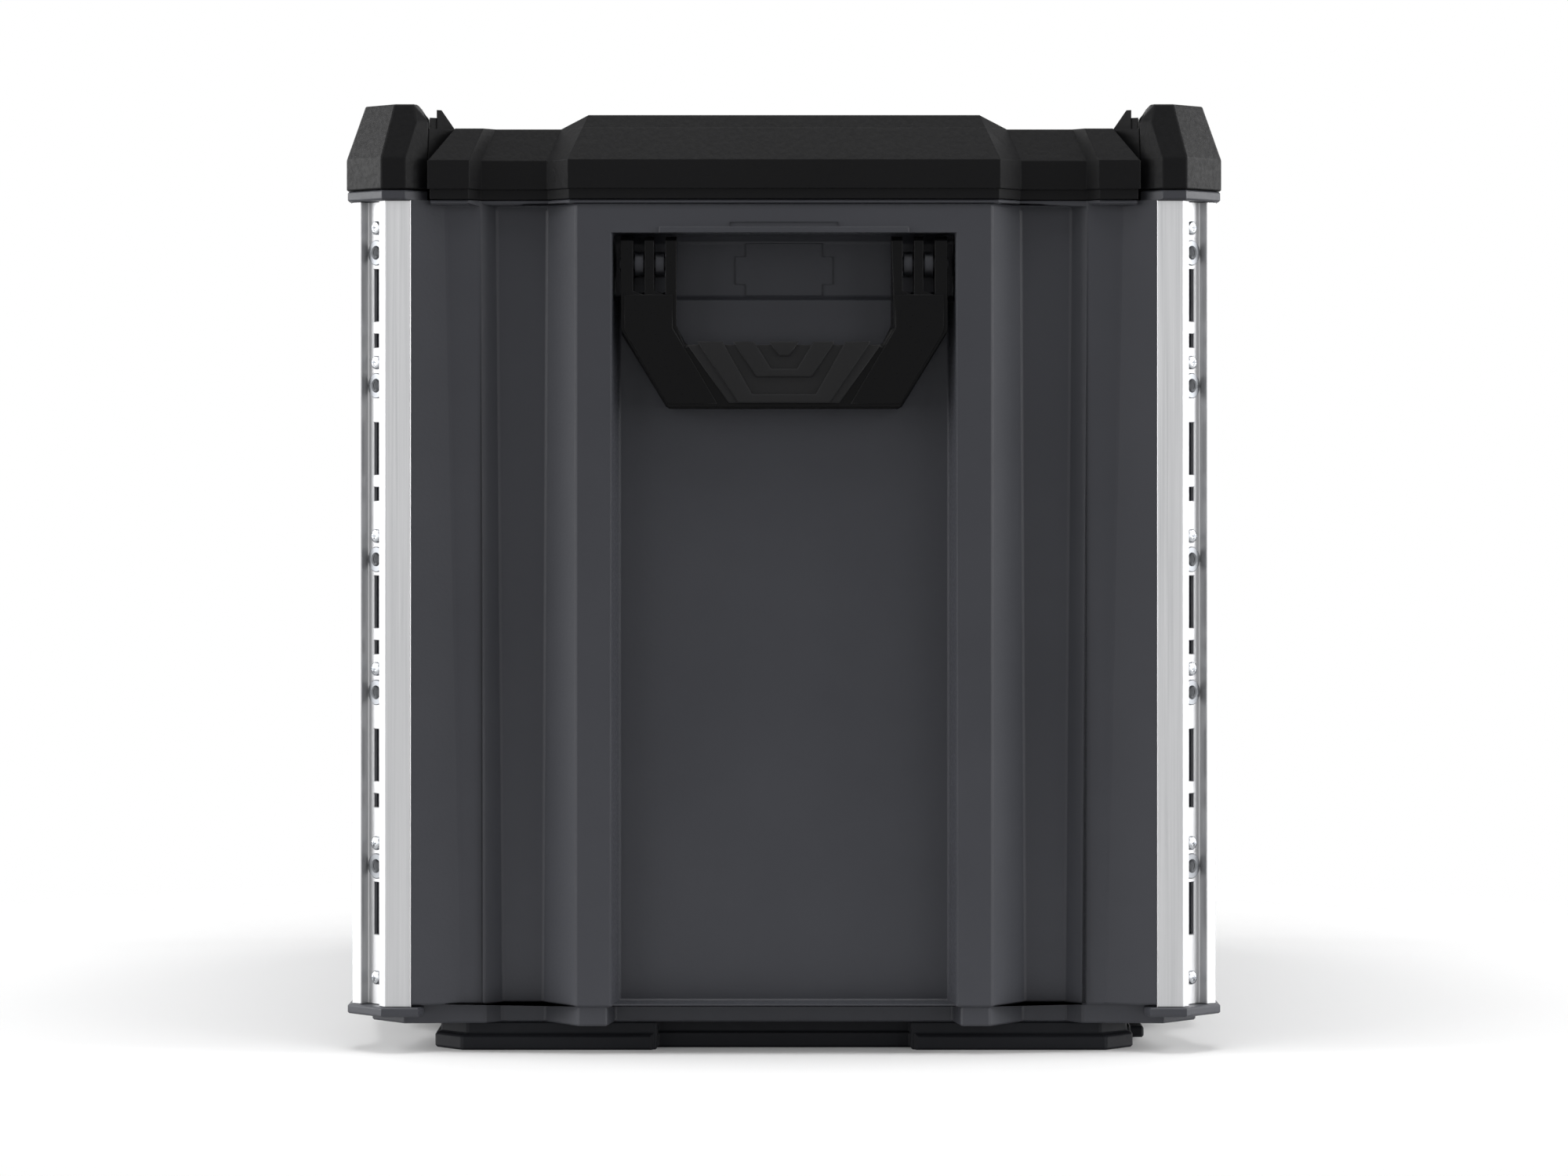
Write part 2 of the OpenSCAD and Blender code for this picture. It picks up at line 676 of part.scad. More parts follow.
module all_crowns() {
    for (y_side = [NEAR, FAR]) at_end(y_side) translate([0, -half_l, 0]) crown(true);
    for (turn = [90, -90]) rotate([0, 0, turn]) translate([0, -half_w, 0]) crown(false);
}

module deck_recess() {
    x = half_w - base_side_in + 1;
    y = half_l - base_end_in + 1;
    c = base_chamfer;
    prism([[-x + c, -y], [x - c, -y], [x, -y + c], [x, y - c], [x - c, y], [-x + c, y], [-x, y - c],
        [-x, -y + c]], deck_z, seam_z + crown_h + 5);
}

rib_t = 2.4;
module deck_ribs() {
    z = deck_z - deck_t - 8;
    x = half_w - cavity_in - 10;
    y = half_l - cavity_in - 10;
    for (i = [-2:2]) translate([-x, i * y / 3 - rib_t / 2, z]) cube([2 * x, rib_t, 9]);
    for (i = [-1:1]) translate([i * x / 2 - rib_t / 2, -y, z]) cube([rib_t, 2 * y, 9]);
}

guide_x = 41.6;
guide_top = 36.6;
guide_ridge_top = 33;
guide_back = base_end_in - 1.2;
guide_foot_l = 8;
guide_tip_l = 2.1;
// A piece of the guide between two places along the facet, just behind its face
module guide_piece(x_from, x_to, slimmer, z_low, z_high) {
    front = [0, gap + slimmer];
    back = guide_back - slimmer;
    prism([on_facet(x_from, 1) + front, on_facet(x_to, 1) + front, [x_to, back], [x_from, back]],
        seam_z + z_low, seam_z + z_high);
}
module guide_tooth() {
    guide_piece(tower_w + gap, guide_x + 1, 0.4, plateau_h - 2, guide_ridge_top);
    hull() {
        guide_piece(guide_x, guide_x + guide_foot_l, 0, plateau_h - 2, plateau_h);
        guide_piece(guide_x, guide_x + guide_tip_l, 0, plateau_h, guide_top);
    }
}

module hinge_relief(y_side) {
    translate([half_w + hinge_out, y_side * fitting_y, seam_z - 2]) rotate([90, 0, 0])
        cylinder(r = hinge_r + gap, h = hinge_w + 4, center = true);
}

module latch_relief(y_side) {
    translate([-half_w - latch_out, y_side * fitting_y, seam_z + latch_pin_h]) rotate([90, 0, 0])
        cylinder(r = hinge_r + gap, h = latch_w + 2 * gap, center = true);
}

module lid() {
    color(black) difference() {
        union() {
            difference() {
                union() {
                    loft([skirt_outline, skirt_outline, rim_outline],
                        [seam_z, crease_z, seam_z + plateau_h]);
                    all_crowns();
                    at_all_corners() guide_tooth();
                    prism(inset(skirt_outline, lip_in), rim_z, seam_z);
                }
                deck_recess();
                at_all_corners() facet_cuts();
                prism(inset(skirt_outline, lip_in + lip_t), rim_z - 1, tongue_top + gap);
                prism(inset(skirt_outline, cavity_in), rim_z - 1, deck_z - deck_t);
                ring(groove_in, groove_in + groove_w, tongue_top, tongue_top + gap + gasket_h);
            }
            deck_ribs();
        }
        for (y_side = [NEAR, FAR]) hinge_relief(y_side);
        for (y_side = [NEAR, FAR]) latch_relief(y_side);
    }
}

gasket_h = 3.6;
module lid_gasket() {
    color(soft_black) ring(groove_in, groove_in + groove_w, tongue_top + gap, tongue_top + gap + gasket_h);
}

tower_top = [[33, 33], [12, 33], [tower_lean, 31], [tower_lean, tower_chamfer + 5.6],
    [tower_chamfer + 5.6, tower_lean], [31, tower_lean], [33, 12]];
// The tower at the height of its shoulder: its outer faces lean, its inner ones stand upright
shoulder_h = plateau_h + 3;
shoulder_part = (shoulder_h - tower_foot_h) / (tower_h - tower_foot_h);
shoulder_lean = shoulder_part * tower_lean;
shoulder_end = facet_from + 4.7;
shoulder_facet_d = facet_d + facet_lean * (shoulder_h - skirt_h) / (plateau_h - skirt_h);
shoulder_chamfer = tower_chamfer + shoulder_part * (tower_top[4][0] - tower_chamfer);
tower_shoulder = [[tower_w, tower_w], [shoulder_facet_d, tower_w], [shoulder_lean, shoulder_end],
    [shoulder_lean, shoulder_chamfer], [shoulder_chamfer, shoulder_lean], [shoulder_end, shoulder_lean],
    [tower_w, shoulder_facet_d]];
hump_r = 4;
hump_in = 11;
hump_l = 22;
module lid_tower(x_side, y_side) {
    color(black) at_corner(x_side, y_side) {
        loft([tower_outline, tower_outline, tower_shoulder, tower_top],
            [seam_z, seam_z + tower_foot_h, seam_z + shoulder_h, chest_h]);
        // Rounded shoulders on the tower's two inner faces
        for (turn = [0, 1]) mirror([turn, -turn, 0]) {
            translate([tower_w - hump_r, hump_in, seam_z + shoulder_h]) rotate([-90, 0, 0])
                cylinder(r = hump_r - 0.05, h = hump_l);
        }
    }
}

// ---- Hinges ----

hinge_x = half_w + hinge_out;
hinge_z = seam_z - 2;
leaf_t = 3.5;

// A knuckle about the hinge axis, from one place along Y to another
module knuckle(radius, y_from, y_to) {
    translate([0, y_to, 0]) rotate([90, 0, 0]) cylinder(r = radius, h = y_to - y_from);
}

module hinge_base(y_side) {
    foot_x = half_w - skirt_overhang - hinge_x;
    color(black) translate([hinge_x, y_side * fitting_y, hinge_z]) difference() {
        union() {
            translate([foot_x, -hinge_w / 2, -20]) cube([leaf_t, hinge_w, 20 - hinge_r - gap]);
            for (side = [-1, 1]) mirror([0, side == 1 ? 1 : 0, 0]) {
                knuckle(hinge_r, -hinge_w / 2, -hinge_w / 2 + hinge_lug_w);
                translate([foot_x, -hinge_w / 2, -hinge_r - gap - 4])
                    cube([leaf_t, hinge_lug_w, hinge_r + gap + 4]);
            }
        }
        knuckle(hinge_pin_d / 2, -hinge_w, hinge_w);
    }
}

module hinge_leaf(y_side) {
    half = hinge_w / 2 - hinge_lug_w - gap;
    color(black) translate([hinge_x, y_side * fitting_y, hinge_z]) difference() {
        union() {
            knuckle(hinge_r, -half, half);
            translate([-hinge_out, -half, 0]) cube([hinge_out + hinge_r - 1, 2 * half, skirt_h + 1]);
            translate([-hinge_out, -hinge_w / 2, hinge_r + 1.5])
                cube([leaf_t, hinge_w, skirt_h - hinge_r]);
        }
        knuckle(hinge_pin_d / 2 + pin_play, -hinge_w, hinge_w);
    }
}

module hinge_pin(y_side) {
    color(steel) translate([hinge_x, y_side * fitting_y, hinge_z]) {
        knuckle(hinge_pin_d / 2, -hinge_w / 2, hinge_w / 2);
        knuckle(hinge_pin_d / 2 + 1, -hinge_w / 2 - 1.2, -hinge_w / 2);
    }
}

// ---- Latches ----

latch_r = hinge_r - 0.2;
latch_out = hinge_out + hinge_r - latch_r;
latch_x = -half_w - latch_out;
latch_z = seam_z + latch_pin_h;

module latch_lever(y_side) {
    color(black) translate([latch_x, y_side * fitting_y, latch_z]) difference() {
        union() {
            knuckle(latch_r, -latch_w / 2, latch_w / 2);
            translate([-latch_r, -latch_w / 2, -latch_drop]) cube([latch_t, latch_w, latch_drop]);
            translate([-latch_r, -latch_w / 2 + 6, -latch_drop - 6]) cube([3, latch_w - 12, 6 + eps]);
        }
        // Shallow panel in the lever's face
        translate([-latch_r - 1, -latch_w / 2 + 7, -latch_drop + 8]) cube([2, latch_w - 14, latch_drop - 24]);
        knuckle(latch_pin_d / 2 + pin_play, -latch_w, latch_w);
    }
}

module latch_ears(y_side) {
    color(black) translate([latch_x, y_side * fitting_y, latch_z]) difference() {
        for (side = [-1, 1]) mirror([0, side == 1 ? 1 : 0, 0]) {
            from = -latch_w / 2 - gap - latch_ear_w;
            knuckle(latch_r, from, from + latch_ear_w);
            translate([0, from, -latch_r]) cube([latch_out, latch_ear_w, 2 * latch_r]);
        }
        knuckle(latch_pin_d / 2, -latch_w, latch_w);
        // Flat back against the skirt
        translate([latch_out, -latch_w, -latch_w]) cube(2 * latch_w);
    }
}

module latch_pin(y_side) {
    half = latch_w / 2 + gap + latch_ear_w;
    color(steel) translate([latch_x, y_side * fitting_y, latch_z]) knuckle(latch_pin_d / 2, -half, half);
}

keeper_t = 2.4;
keeper_h = 26;
module latch_keeper(y_side) {
    color(black) translate([-half_w + skirt_overhang - keeper_t, y_side * fitting_y - latch_w / 2 + 4,
        latch_z - latch_drop + 4]) {
        cube([keeper_t, latch_w - 8, keeper_h]);
        translate([-0.7, 4, keeper_h / 2 - 2]) cube([1, latch_w - 16, 4]);
    }
}

// ---- Handles ----

grip_low = handle_pin_z - handle_drop;
arm_bend_z = handle_pin_z - 31.4;
arm_foot_half = 53;
function mirrored(points) = concat(points,
    [for (i = [len(points) - 1:-1:0]) [-points[i][0], points[i][1]]]);
handle_outline = mirrored([
    [-handle_w / 2 + arm_w, handle_pin_z], [-handle_w / 2, handle_pin_z],
    [-handle_w / 2, arm_bend_z], [-arm_foot_half, grip_low]]);
hand_hole = mirrored([
    [-handle_w / 2 + arm_w, handle_pin_z + 20], [-handle_w / 2 + arm_w, arm_bend_z + 2.2],
    [-handle_w / 2 + arm_w + 4.6, grip_low + grip_h]]);

module handle(y_side) {
    color(soft_black) at_end(y_side) difference() {
        union() {
            translate([0, handle_pin_y + handle_t / 2, 0]) rotate([90, 0, 0]) linear_extrude(handle_t)
                polygon(handle_outline);
            // Knuckles round the pin
            translate([-handle_w / 2, handle_pin_y, handle_pin_z]) intersection() {
                rotate([0, 90, 0]) cylinder(r = knuckle_r, h = handle_w);
                translate([0, -handle_t / 2, -1]) cube([handle_w, handle_t, knuckle_r + 1]);
            }
        }
        translate([0, handle_pin_y + handle_t, 0]) rotate([90, 0, 0]) linear_extrude(2 * handle_t)
            polygon(hand_hole);
        for (side = [-1, 1], i = [0:1])
            translate([side * slot_x(i) - lug_slot_w / 2, handle_pin_y - handle_t, handle_pin_z - 13.6])
            cube([lug_slot_w, 2 * handle_t, 40]);
        handle_pin_bore(handle_pin_d + 2 * pin_play);
    }
}

module handle_pins(y_side) {
    color(steel) at_end(y_side) for (side = [-1, 1])
        translate([side * (handle_w / 2 + 0.5), handle_pin_y, handle_pin_z])
        rotate([0, -side * 90, 0]) cylinder(d = handle_pin_d, h = arm_w + 0.5);
}

// The pad on the grip: nested bands that narrow toward the bottom. Each line
// is given as its half width at the top and at its foot, as shares of the pad's
// half width, and its foot's height as a share of the grip's height.
pad_half = handle_w / 2 - arm_w - 4.8;
band_top = grip_low + grip_h + 0.2;
pad_edge = [1, 0.57, 0.09];
outer_band = [[0.875, 0.473, 0.09], [0.614, 0.327, 0.23]];
inner_band = [[0.507, 0.289, 0.5], [0.286, 0.134, 0.63]];
middle_band = [0.136, 0.052, 0.83];
module pad_plate(line, t, y_front) {
    translate([0, y_front + t, 0]) rotate([90, 0, 0]) linear_extrude(t) polygon(mirrored([
        [-line[0] * pad_half, band_top], [-line[1] * pad_half, grip_low + line[2] * grip_h]]));
}

module grip_pad(y_side) {
    y_pad = handle_pin_y - handle_t / 2 - pad_t;
    color(soft_black) at_end(y_side) {
        pad_plate(pad_edge, pad_t, y_pad);
        for (band = [outer_band, inner_band]) difference() {
            pad_plate(band[0], pad_band_t, y_pad - pad_band_t);
            pad_plate(band[1], 3 * pad_band_t, y_pad - 2 * pad_band_t);
        }
        pad_plate(middle_band, pad_band_t, y_pad - pad_band_t);
    }
}

tub();
stacking_base();
corner_rail(FRONT, NEAR);  // corner_rail_front_near
corner_rail(REAR, NEAR);  // corner_rail_rear_near
corner_rail(FRONT, FAR);  // corner_rail_front_far
corner_rail(REAR, FAR);  // corner_rail_rear_far
rail_screws(FRONT, NEAR);  // rail_screws_front_near
rail_screws(REAR, NEAR);  // rail_screws_rear_near
rail_screws(FRONT, FAR);  // rail_screws_front_far
rail_screws(REAR, FAR);  // rail_screws_rear_far
rail_inserts(FRONT, NEAR);  // rail_inserts_front_near
rail_inserts(REAR, NEAR);  // rail_inserts_rear_near
rail_inserts(FRONT, FAR);  // rail_inserts_front_far
rail_inserts(REAR, FAR);  // rail_inserts_rear_far
lid();
lid_gasket();
lid_tower(FRONT, NEAR);  // lid_tower_front_near
lid_tower(REAR, NEAR);  // lid_tower_rear_near
lid_tower(FRONT, FAR);  // lid_tower_front_far
lid_tower(REAR, FAR);  // lid_tower_rear_far
hinge_base(NEAR);  // hinge_base_near
hinge_base(FAR);  // hinge_base_far
hinge_leaf(NEAR);  // hinge_leaf_near
hinge_leaf(FAR);  // hinge_leaf_far
hinge_pin(NEAR);  // hinge_pin_near
hinge_pin(FAR);  // hinge_pin_far
latch_ears(NEAR);  // latch_ears_near
latch_ears(FAR);  // latch_ears_far
latch_lever(NEAR);  // latch_lever_near
latch_lever(FAR);  // latch_lever_far
latch_pin(NEAR);  // latch_pin_near
latch_pin(FAR);  // latch_pin_far
latch_keeper(NEAR);  // latch_keeper_near
latch_keeper(FAR);  // latch_keeper_far
handle(NEAR);  // handle_near
handle(FAR);  // handle_far
grip_pad(NEAR);  // grip_pad_near
grip_pad(FAR);  // grip_pad_far
handle_pins(NEAR);  // handle_pins_near
handle_pins(FAR);  // handle_pins_far
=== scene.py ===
"""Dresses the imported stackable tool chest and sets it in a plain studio.

The chest is built as sub-assemblies: the tub, the corner rails with their
hardware, the lid, the hinges, the latches and the carry handles. Each is a
class that holds its sizes in millimetres and makes its own pieces. The axes
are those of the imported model: +Z up, -X the latch side, +X the hinge side,
and -Y and +Y the two handle ends.
"""
import json
import logging
from dataclasses import dataclass
from enum import Enum
from math import radians, sqrt

import bmesh
import bpy
from mathutils import Matrix, Vector


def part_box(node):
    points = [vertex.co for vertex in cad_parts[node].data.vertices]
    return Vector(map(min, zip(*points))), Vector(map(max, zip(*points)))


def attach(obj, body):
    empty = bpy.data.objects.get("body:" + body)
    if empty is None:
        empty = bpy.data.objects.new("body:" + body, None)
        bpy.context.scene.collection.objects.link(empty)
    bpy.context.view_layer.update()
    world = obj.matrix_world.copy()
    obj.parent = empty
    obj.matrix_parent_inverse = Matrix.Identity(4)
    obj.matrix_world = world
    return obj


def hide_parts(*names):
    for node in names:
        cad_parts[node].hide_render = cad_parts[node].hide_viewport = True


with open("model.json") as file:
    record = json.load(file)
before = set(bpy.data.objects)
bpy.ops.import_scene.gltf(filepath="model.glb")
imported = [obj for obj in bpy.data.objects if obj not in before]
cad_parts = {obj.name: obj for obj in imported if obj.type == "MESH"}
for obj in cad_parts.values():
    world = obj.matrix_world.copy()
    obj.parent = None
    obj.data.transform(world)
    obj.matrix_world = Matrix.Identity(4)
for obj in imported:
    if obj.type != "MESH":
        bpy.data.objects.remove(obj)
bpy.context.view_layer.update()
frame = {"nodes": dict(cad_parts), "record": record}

LOG = logging.getLogger("chest")
MM = 0.001
NOISE_RANGE = (0.3, 0.7)     # nearly all of a noise's values lie between these
SHARP_TURN = 12.0            # degrees; edges that turn by less aren't chamfered
FLAT_TURN = 0.1              # degrees; faces that meet at less are one flat face
ROOM_FOR_EDGE = 2.5          # an edge is chamfered where its neighbours are this many widths long
SAME_POINT_MM = 0.01
ALL_SMOOTH = 181.0           # degrees; no turn is as great, so the whole piece shades as one


# ---- Names ----


class Body(Enum):
    """The moving bodies that pieces ride on."""

    CHEST = "chest_body"
    LID = "lid_body"
    LATCH_NEAR = "latch_near_body"
    LATCH_FAR = "latch_far_body"
    HANDLE_NEAR = "handle_near_body"
    HANDLE_FAR = "handle_far_body"


class Slot(Enum):
    """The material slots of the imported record."""

    GREY = "grey_plastic"
    BLACK = "black_plastic"
    GRIP = "grip_plastic"
    SEAL = "seal_rubber"
    ALUMINIUM = "rail_aluminium"
    STEEL = "zinc_steel"


class End(Enum):
    """The two handle ends, by the sign of their Y."""

    NEAR = -1
    FAR = 1

    @property
    def label(self) -> str:
        """The end's word in the names of its pieces."""
        return self.name.lower()


class Corner(Enum):
    """The four corners, by the signs of their X and Y."""

    FRONT_NEAR = (-1, -1)
    REAR_NEAR = (1, -1)
    FRONT_FAR = (-1, 1)
    REAR_FAR = (1, 1)

    @property
    def label(self) -> str:
        """The corner's words in the names of its pieces."""
        return self.name.lower()


# ---- Finishes ----


def linear(colour: str) -> tuple[float, float, float, float]:
    """Turns an sRGB colour to the linear one that a shader reads.

    Args:
        colour: The colour as a hex value, such as "#4A4B50".

    Returns:
        Linear red, green and blue, and an alpha of 1.
    """
    parts = [int(colour[i:i + 2], 16) / 255 for i in (1, 3, 5)]
    red, green, blue = [p / 12.92 if p <= 0.04045 else ((p + 0.055) / 1.055) ** 2.4 for p in parts]
    return red, green, blue, 1.0


def add_node(tree: bpy.types.NodeTree, kind: str, settings: dict | None = None,
             links: dict | None = None) -> bpy.types.Node:
    """Adds a node with its settings and links.

    Args:
        tree: The node tree of a material or of the world.
        kind: The node's type, such as "ShaderNodeBump".
        settings: Values by property name, socket name or socket number, in order.
        links: Output sockets by the name or number of the input that they feed.

    Returns:
        The new node.
    """
    node = tree.nodes.new(kind)
    for key, value in (settings or {}).items():
        if isinstance(key, int) or key in node.inputs:
            node.inputs[key].default_value = value
        else:
            setattr(node, key, value)
    for key, socket in (links or {}).items():
        tree.links.new(socket, node.inputs[key])
    return node


def spread_roughness(tree: bpy.types.NodeTree, noise: bpy.types.NodeSocket, middle: float,
                     spread: float) -> bpy.types.NodeSocket:
    """Lets a noise move the roughness about its middle value.

    Args:
        tree: The material's node tree.
        noise: The noise's output.
        middle: The middle roughness.
        spread: How far it moves either way.

    Returns:
        The roughness as an output socket.
    """
    low, high = NOISE_RANGE
    return add_node(tree, "ShaderNodeMapRange",
                    {"From Min": low, "From Max": high, "To Min": middle - spread, "To Max": middle + spread},
                    {"Value": noise}).outputs[0]


@dataclass(frozen=True)
class Finish:
    """A material, named for what it is and how its surface was made."""

    name: str
    slot: Slot

    def material(self) -> bpy.types.Material:
        """The finish's material, made the first time that it is asked for."""
        made = bpy.data.materials.get(self.name)
        if made is None:
            made = bpy.data.materials.new(self.name)
            made.use_nodes = True
            made.node_tree.nodes.clear()
            shader = self.shade(made.node_tree)
            add_node(made.node_tree, "ShaderNodeOutputMaterial", links={"Surface": shader.outputs[0]})
        return made

    def shade(self, tree: bpy.types.NodeTree) -> bpy.types.Node:
        """Builds the surface shader in the tree. Each finish has its own."""
        raise NotImplementedError


@dataclass(frozen=True)
class MouldedPlastic(Finish):
    """Injection-moulded plastic with the fine grain that an etched mould leaves.

    The grain breaks up the sheen, and the colour drifts a little over each
    moulding, as the melt flows in and cools. Its edges are shaded as slightly
    rounded, edge_mm wide, whether or not the mesh rounds them too.
    """

    colour: str
    deep_colour: str
    roughness: float
    sheen_spread: float
    specular: float
    grain_mm: float
    grain_depth_mm: float
    drift_mm: float = 60.0
    edge_mm: float = 0.7

    def shade(self, tree: bpy.types.NodeTree) -> bpy.types.Node:
        """Builds the plastic.

        Args:
            tree: The material's node tree.

        Returns:
            The surface shader.
        """
        place = add_node(tree, "ShaderNodeTexCoord").outputs["Object"]
        drift = add_node(tree, "ShaderNodeTexNoise",
                         {"Scale": 1 / (self.drift_mm * MM), "Detail": 3.0, "Roughness": 0.6},
                         {"Vector": place})
        grain = add_node(tree, "ShaderNodeTexNoise",
                         {"Scale": 1 / (self.grain_mm * MM), "Detail": 2.0, "Roughness": 0.55},
                         {"Vector": place})
        colour = add_node(tree, "ShaderNodeMix",
                          {"data_type": "RGBA", 6: linear(self.deep_colour), 7: linear(self.colour)},
                          {0: drift.outputs[0]})
        rough = spread_roughness(tree, grain.outputs[0], self.roughness, self.sheen_spread)
        eased = add_node(tree, "ShaderNodeBevel", {"samples": 4, "Radius": self.edge_mm * MM})
        relief = add_node(tree, "ShaderNodeBump",
                          {"Strength": 1.0, "Distance": self.grain_depth_mm * MM},
                          {"Height": grain.outputs[0], "Normal": eased.outputs[0]})
        return add_node(tree, "ShaderNodeBsdfPrincipled",
                        {"Specular IOR Level": self.specular, "IOR": 1.5},
                        {"Base Color": colour.outputs[2], "Roughness": rough,
                         "Normal": relief.outputs[0]})


@dataclass(frozen=True)
class ExtrudedAluminium(Finish):
    """Aluminium pushed through a die, with long die lines up its length.

    The lines stretch each highlight sideways and leave light and dark
    streaks from end to end.
    """

    colour: str
    streak_colour: str
    roughness: float
    line_mm: float
    line_run_mm: float
    line_depth_mm: float
    sheen_spread: float = 0.08

    def shade(self, tree: bpy.types.NodeTree) -> bpy.types.Node:
        """Builds the metal.

        Args:
            tree: The material's node tree.

        Returns:
            The surface shader.
        """
        place = add_node(tree, "ShaderNodeTexCoord").outputs["Object"]
        along = add_node(tree, "ShaderNodeMapping",
                         {"Scale": (1 / (self.line_mm * MM), 1 / (self.line_mm * MM),
                                    1 / (self.line_run_mm * MM))}, {"Vector": place})
        lines = add_node(tree, "ShaderNodeTexNoise", {"Scale": 1.0, "Detail": 4.0, "Roughness": 0.7},
                         {"Vector": along.outputs[0]})
        colour = add_node(tree, "ShaderNodeMix",
                          {"data_type": "RGBA", 6: linear(self.streak_colour), 7: linear(self.colour)},
                          {0: lines.outputs[0]})
        rough = spread_roughness(tree, lines.outputs[0], self.roughness, self.sheen_spread)
        relief = add_node(tree, "ShaderNodeBump",
                          {"Strength": 1.0, "Distance": self.line_depth_mm * MM},
                          {"Height": lines.outputs[0]})
        return add_node(tree, "ShaderNodeBsdfPrincipled", {"Metallic": 1.0},
                        {"Base Color": colour.outputs[2], "Roughness": rough,
                         "Normal": relief.outputs[0]})


@dataclass(frozen=True)
class CoatedSteel(Finish):
    """Cold-formed steel with a thin metal plating or oxide over it.

    The coat is smooth and a little cloudy, with a soft mottled shine.
    """

    colour: str
    cloud_colour: str
    roughness: float
    cloud_mm: float
    sheen_spread: float = 0.06

    def shade(self, tree: bpy.types.NodeTree) -> bpy.types.Node:
        """Builds the coat.

        Args:
            tree: The material's node tree.

        Returns:
            The surface shader.
        """
        place = add_node(tree, "ShaderNodeTexCoord").outputs["Object"]
        cloud = add_node(tree, "ShaderNodeTexNoise",
                         {"Scale": 1 / (self.cloud_mm * MM), "Detail": 3.0}, {"Vector": place})
        colour = add_node(tree, "ShaderNodeMix",
                          {"data_type": "RGBA", 6: linear(self.cloud_colour), 7: linear(self.colour)},
                          {0: cloud.outputs[0]})
        rough = spread_roughness(tree, cloud.outputs[0], self.roughness, self.sheen_spread)
        return add_node(tree, "ShaderNodeBsdfPrincipled", {"Metallic": 1.0},
                        {"Base Color": colour.outputs[2], "Roughness": rough})


# Polypropylene copolymer, moulded in an etched tool: a dull grey with a soft, even sheen.
TUB_PLASTIC = MouldedPlastic("moulded_grey_polypropylene", Slot.GREY, "#46474C", "#3E3F44",
                             roughness=0.4, sheen_spread=0.06, specular=0.2,
                             grain_mm=1.6, grain_depth_mm=0.05)
# The same grey polypropylene, coloured darker as painted shade under the chest, and duller.
BASE_PLASTIC_PAINTED_SHADE = MouldedPlastic("moulded_dark_polypropylene", Slot.GREY, "#242529", "#1F2023",
                              roughness=0.5, sheen_spread=0.06, specular=0.12,
                              grain_mm=1.6, grain_depth_mm=0.05)
# Polypropylene squeezed into the joint of a mould insert: smooth, and coloured lighter than the grain beside
# it as a painted highlight.
LINE_PLASTIC_PAINTED_HIGHLIGHT = MouldedPlastic("flash_line_polypropylene", Slot.GREY, "#6A6B72", "#62636A",
                              roughness=0.35, sheen_spread=0.04, specular=0.3,
                              grain_mm=1.6, grain_depth_mm=0.01)
# ABS moulded in a coarser etched tool: satin black. Real grain is about 0.4 mm and is drawn coarser to show.
LID_PLASTIC = MouldedPlastic("grained_black_abs", Slot.BLACK, "#151516", "#101011",
                             roughness=0.42, sheen_spread=0.08, specular=0.08,
                             grain_mm=2.0, grain_depth_mm=0.09)
# Glass-filled nylon: nearly black, and it catches light only along its edges.
HANDLE_NYLON = MouldedPlastic("moulded_black_nylon", Slot.GRIP, "#0E0E0F", "#0A0A0B",
                              roughness=0.34, sheen_spread=0.07, specular=0.08,
                              grain_mm=1.8, grain_depth_mm=0.06)
# Thermoplastic rubber moulded over the grip: dull and soft to the eye.
GRIP_RUBBER = MouldedPlastic("overmoulded_soft_rubber", Slot.GRIP, "#212122", "#1B1B1C",
                             roughness=0.6, sheen_spread=0.05, specular=0.14,
                             grain_mm=1.4, grain_depth_mm=0.05)
# EPDM foam cord: matt, with open pores.
SEAL_RUBBER = MouldedPlastic("extruded_epdm_foam", Slot.SEAL, "#141414", "#0E0E0E",
                             roughness=0.85, sheen_spread=0.05, specular=0.2,
                             grain_mm=1.0, grain_depth_mm=0.15)
# Mill-finish 6063 profile: pale, with die lines drawn 0.9 mm apart so that they show.
RAIL_ALUMINIUM = ExtrudedAluminium("mill_finish_extruded_aluminium", Slot.ALUMINIUM, "#C8C8C9", "#A2A3A5",
                                   roughness=0.48, line_mm=0.9, line_run_mm=140.0, line_depth_mm=0.02)
# Bright zinc over steel: a cool mirror-like grey with cloudy patches.
PLATED_STEEL = CoatedSteel("zinc_plated_steel", Slot.STEEL, "#BFC1C4", "#9FA2A6",
                           roughness=0.28, cloud_mm=3.0)
# Zinc-nickel over steel: the inserts' darker grey, duller than the screws beside them.
DARK_PLATED_STEEL = CoatedSteel("zinc_nickel_plated_steel", Slot.STEEL, "#7B7D80", "#5E6063",
                                roughness=0.36, cloud_mm=2.0)
# Steel of the handle's pins, coloured nearly as dark as the nylon round them: painted shade of the deep slots
# that they sit in.
PIN_STEEL_PAINTED_SHADE = CoatedSteel("black_oxide_steel", Slot.STEEL, "#2A2A2C", "#1E1E20",
                          roughness=0.42, cloud_mm=2.0)


# ---- Making pieces ----


def body_of_node(node: str) -> Body:
    """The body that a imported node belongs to."""
    bodies = frame["record"]["behaviour"]["bodies"]
    return Body(next(name for name, members in bodies.items() if node in members))


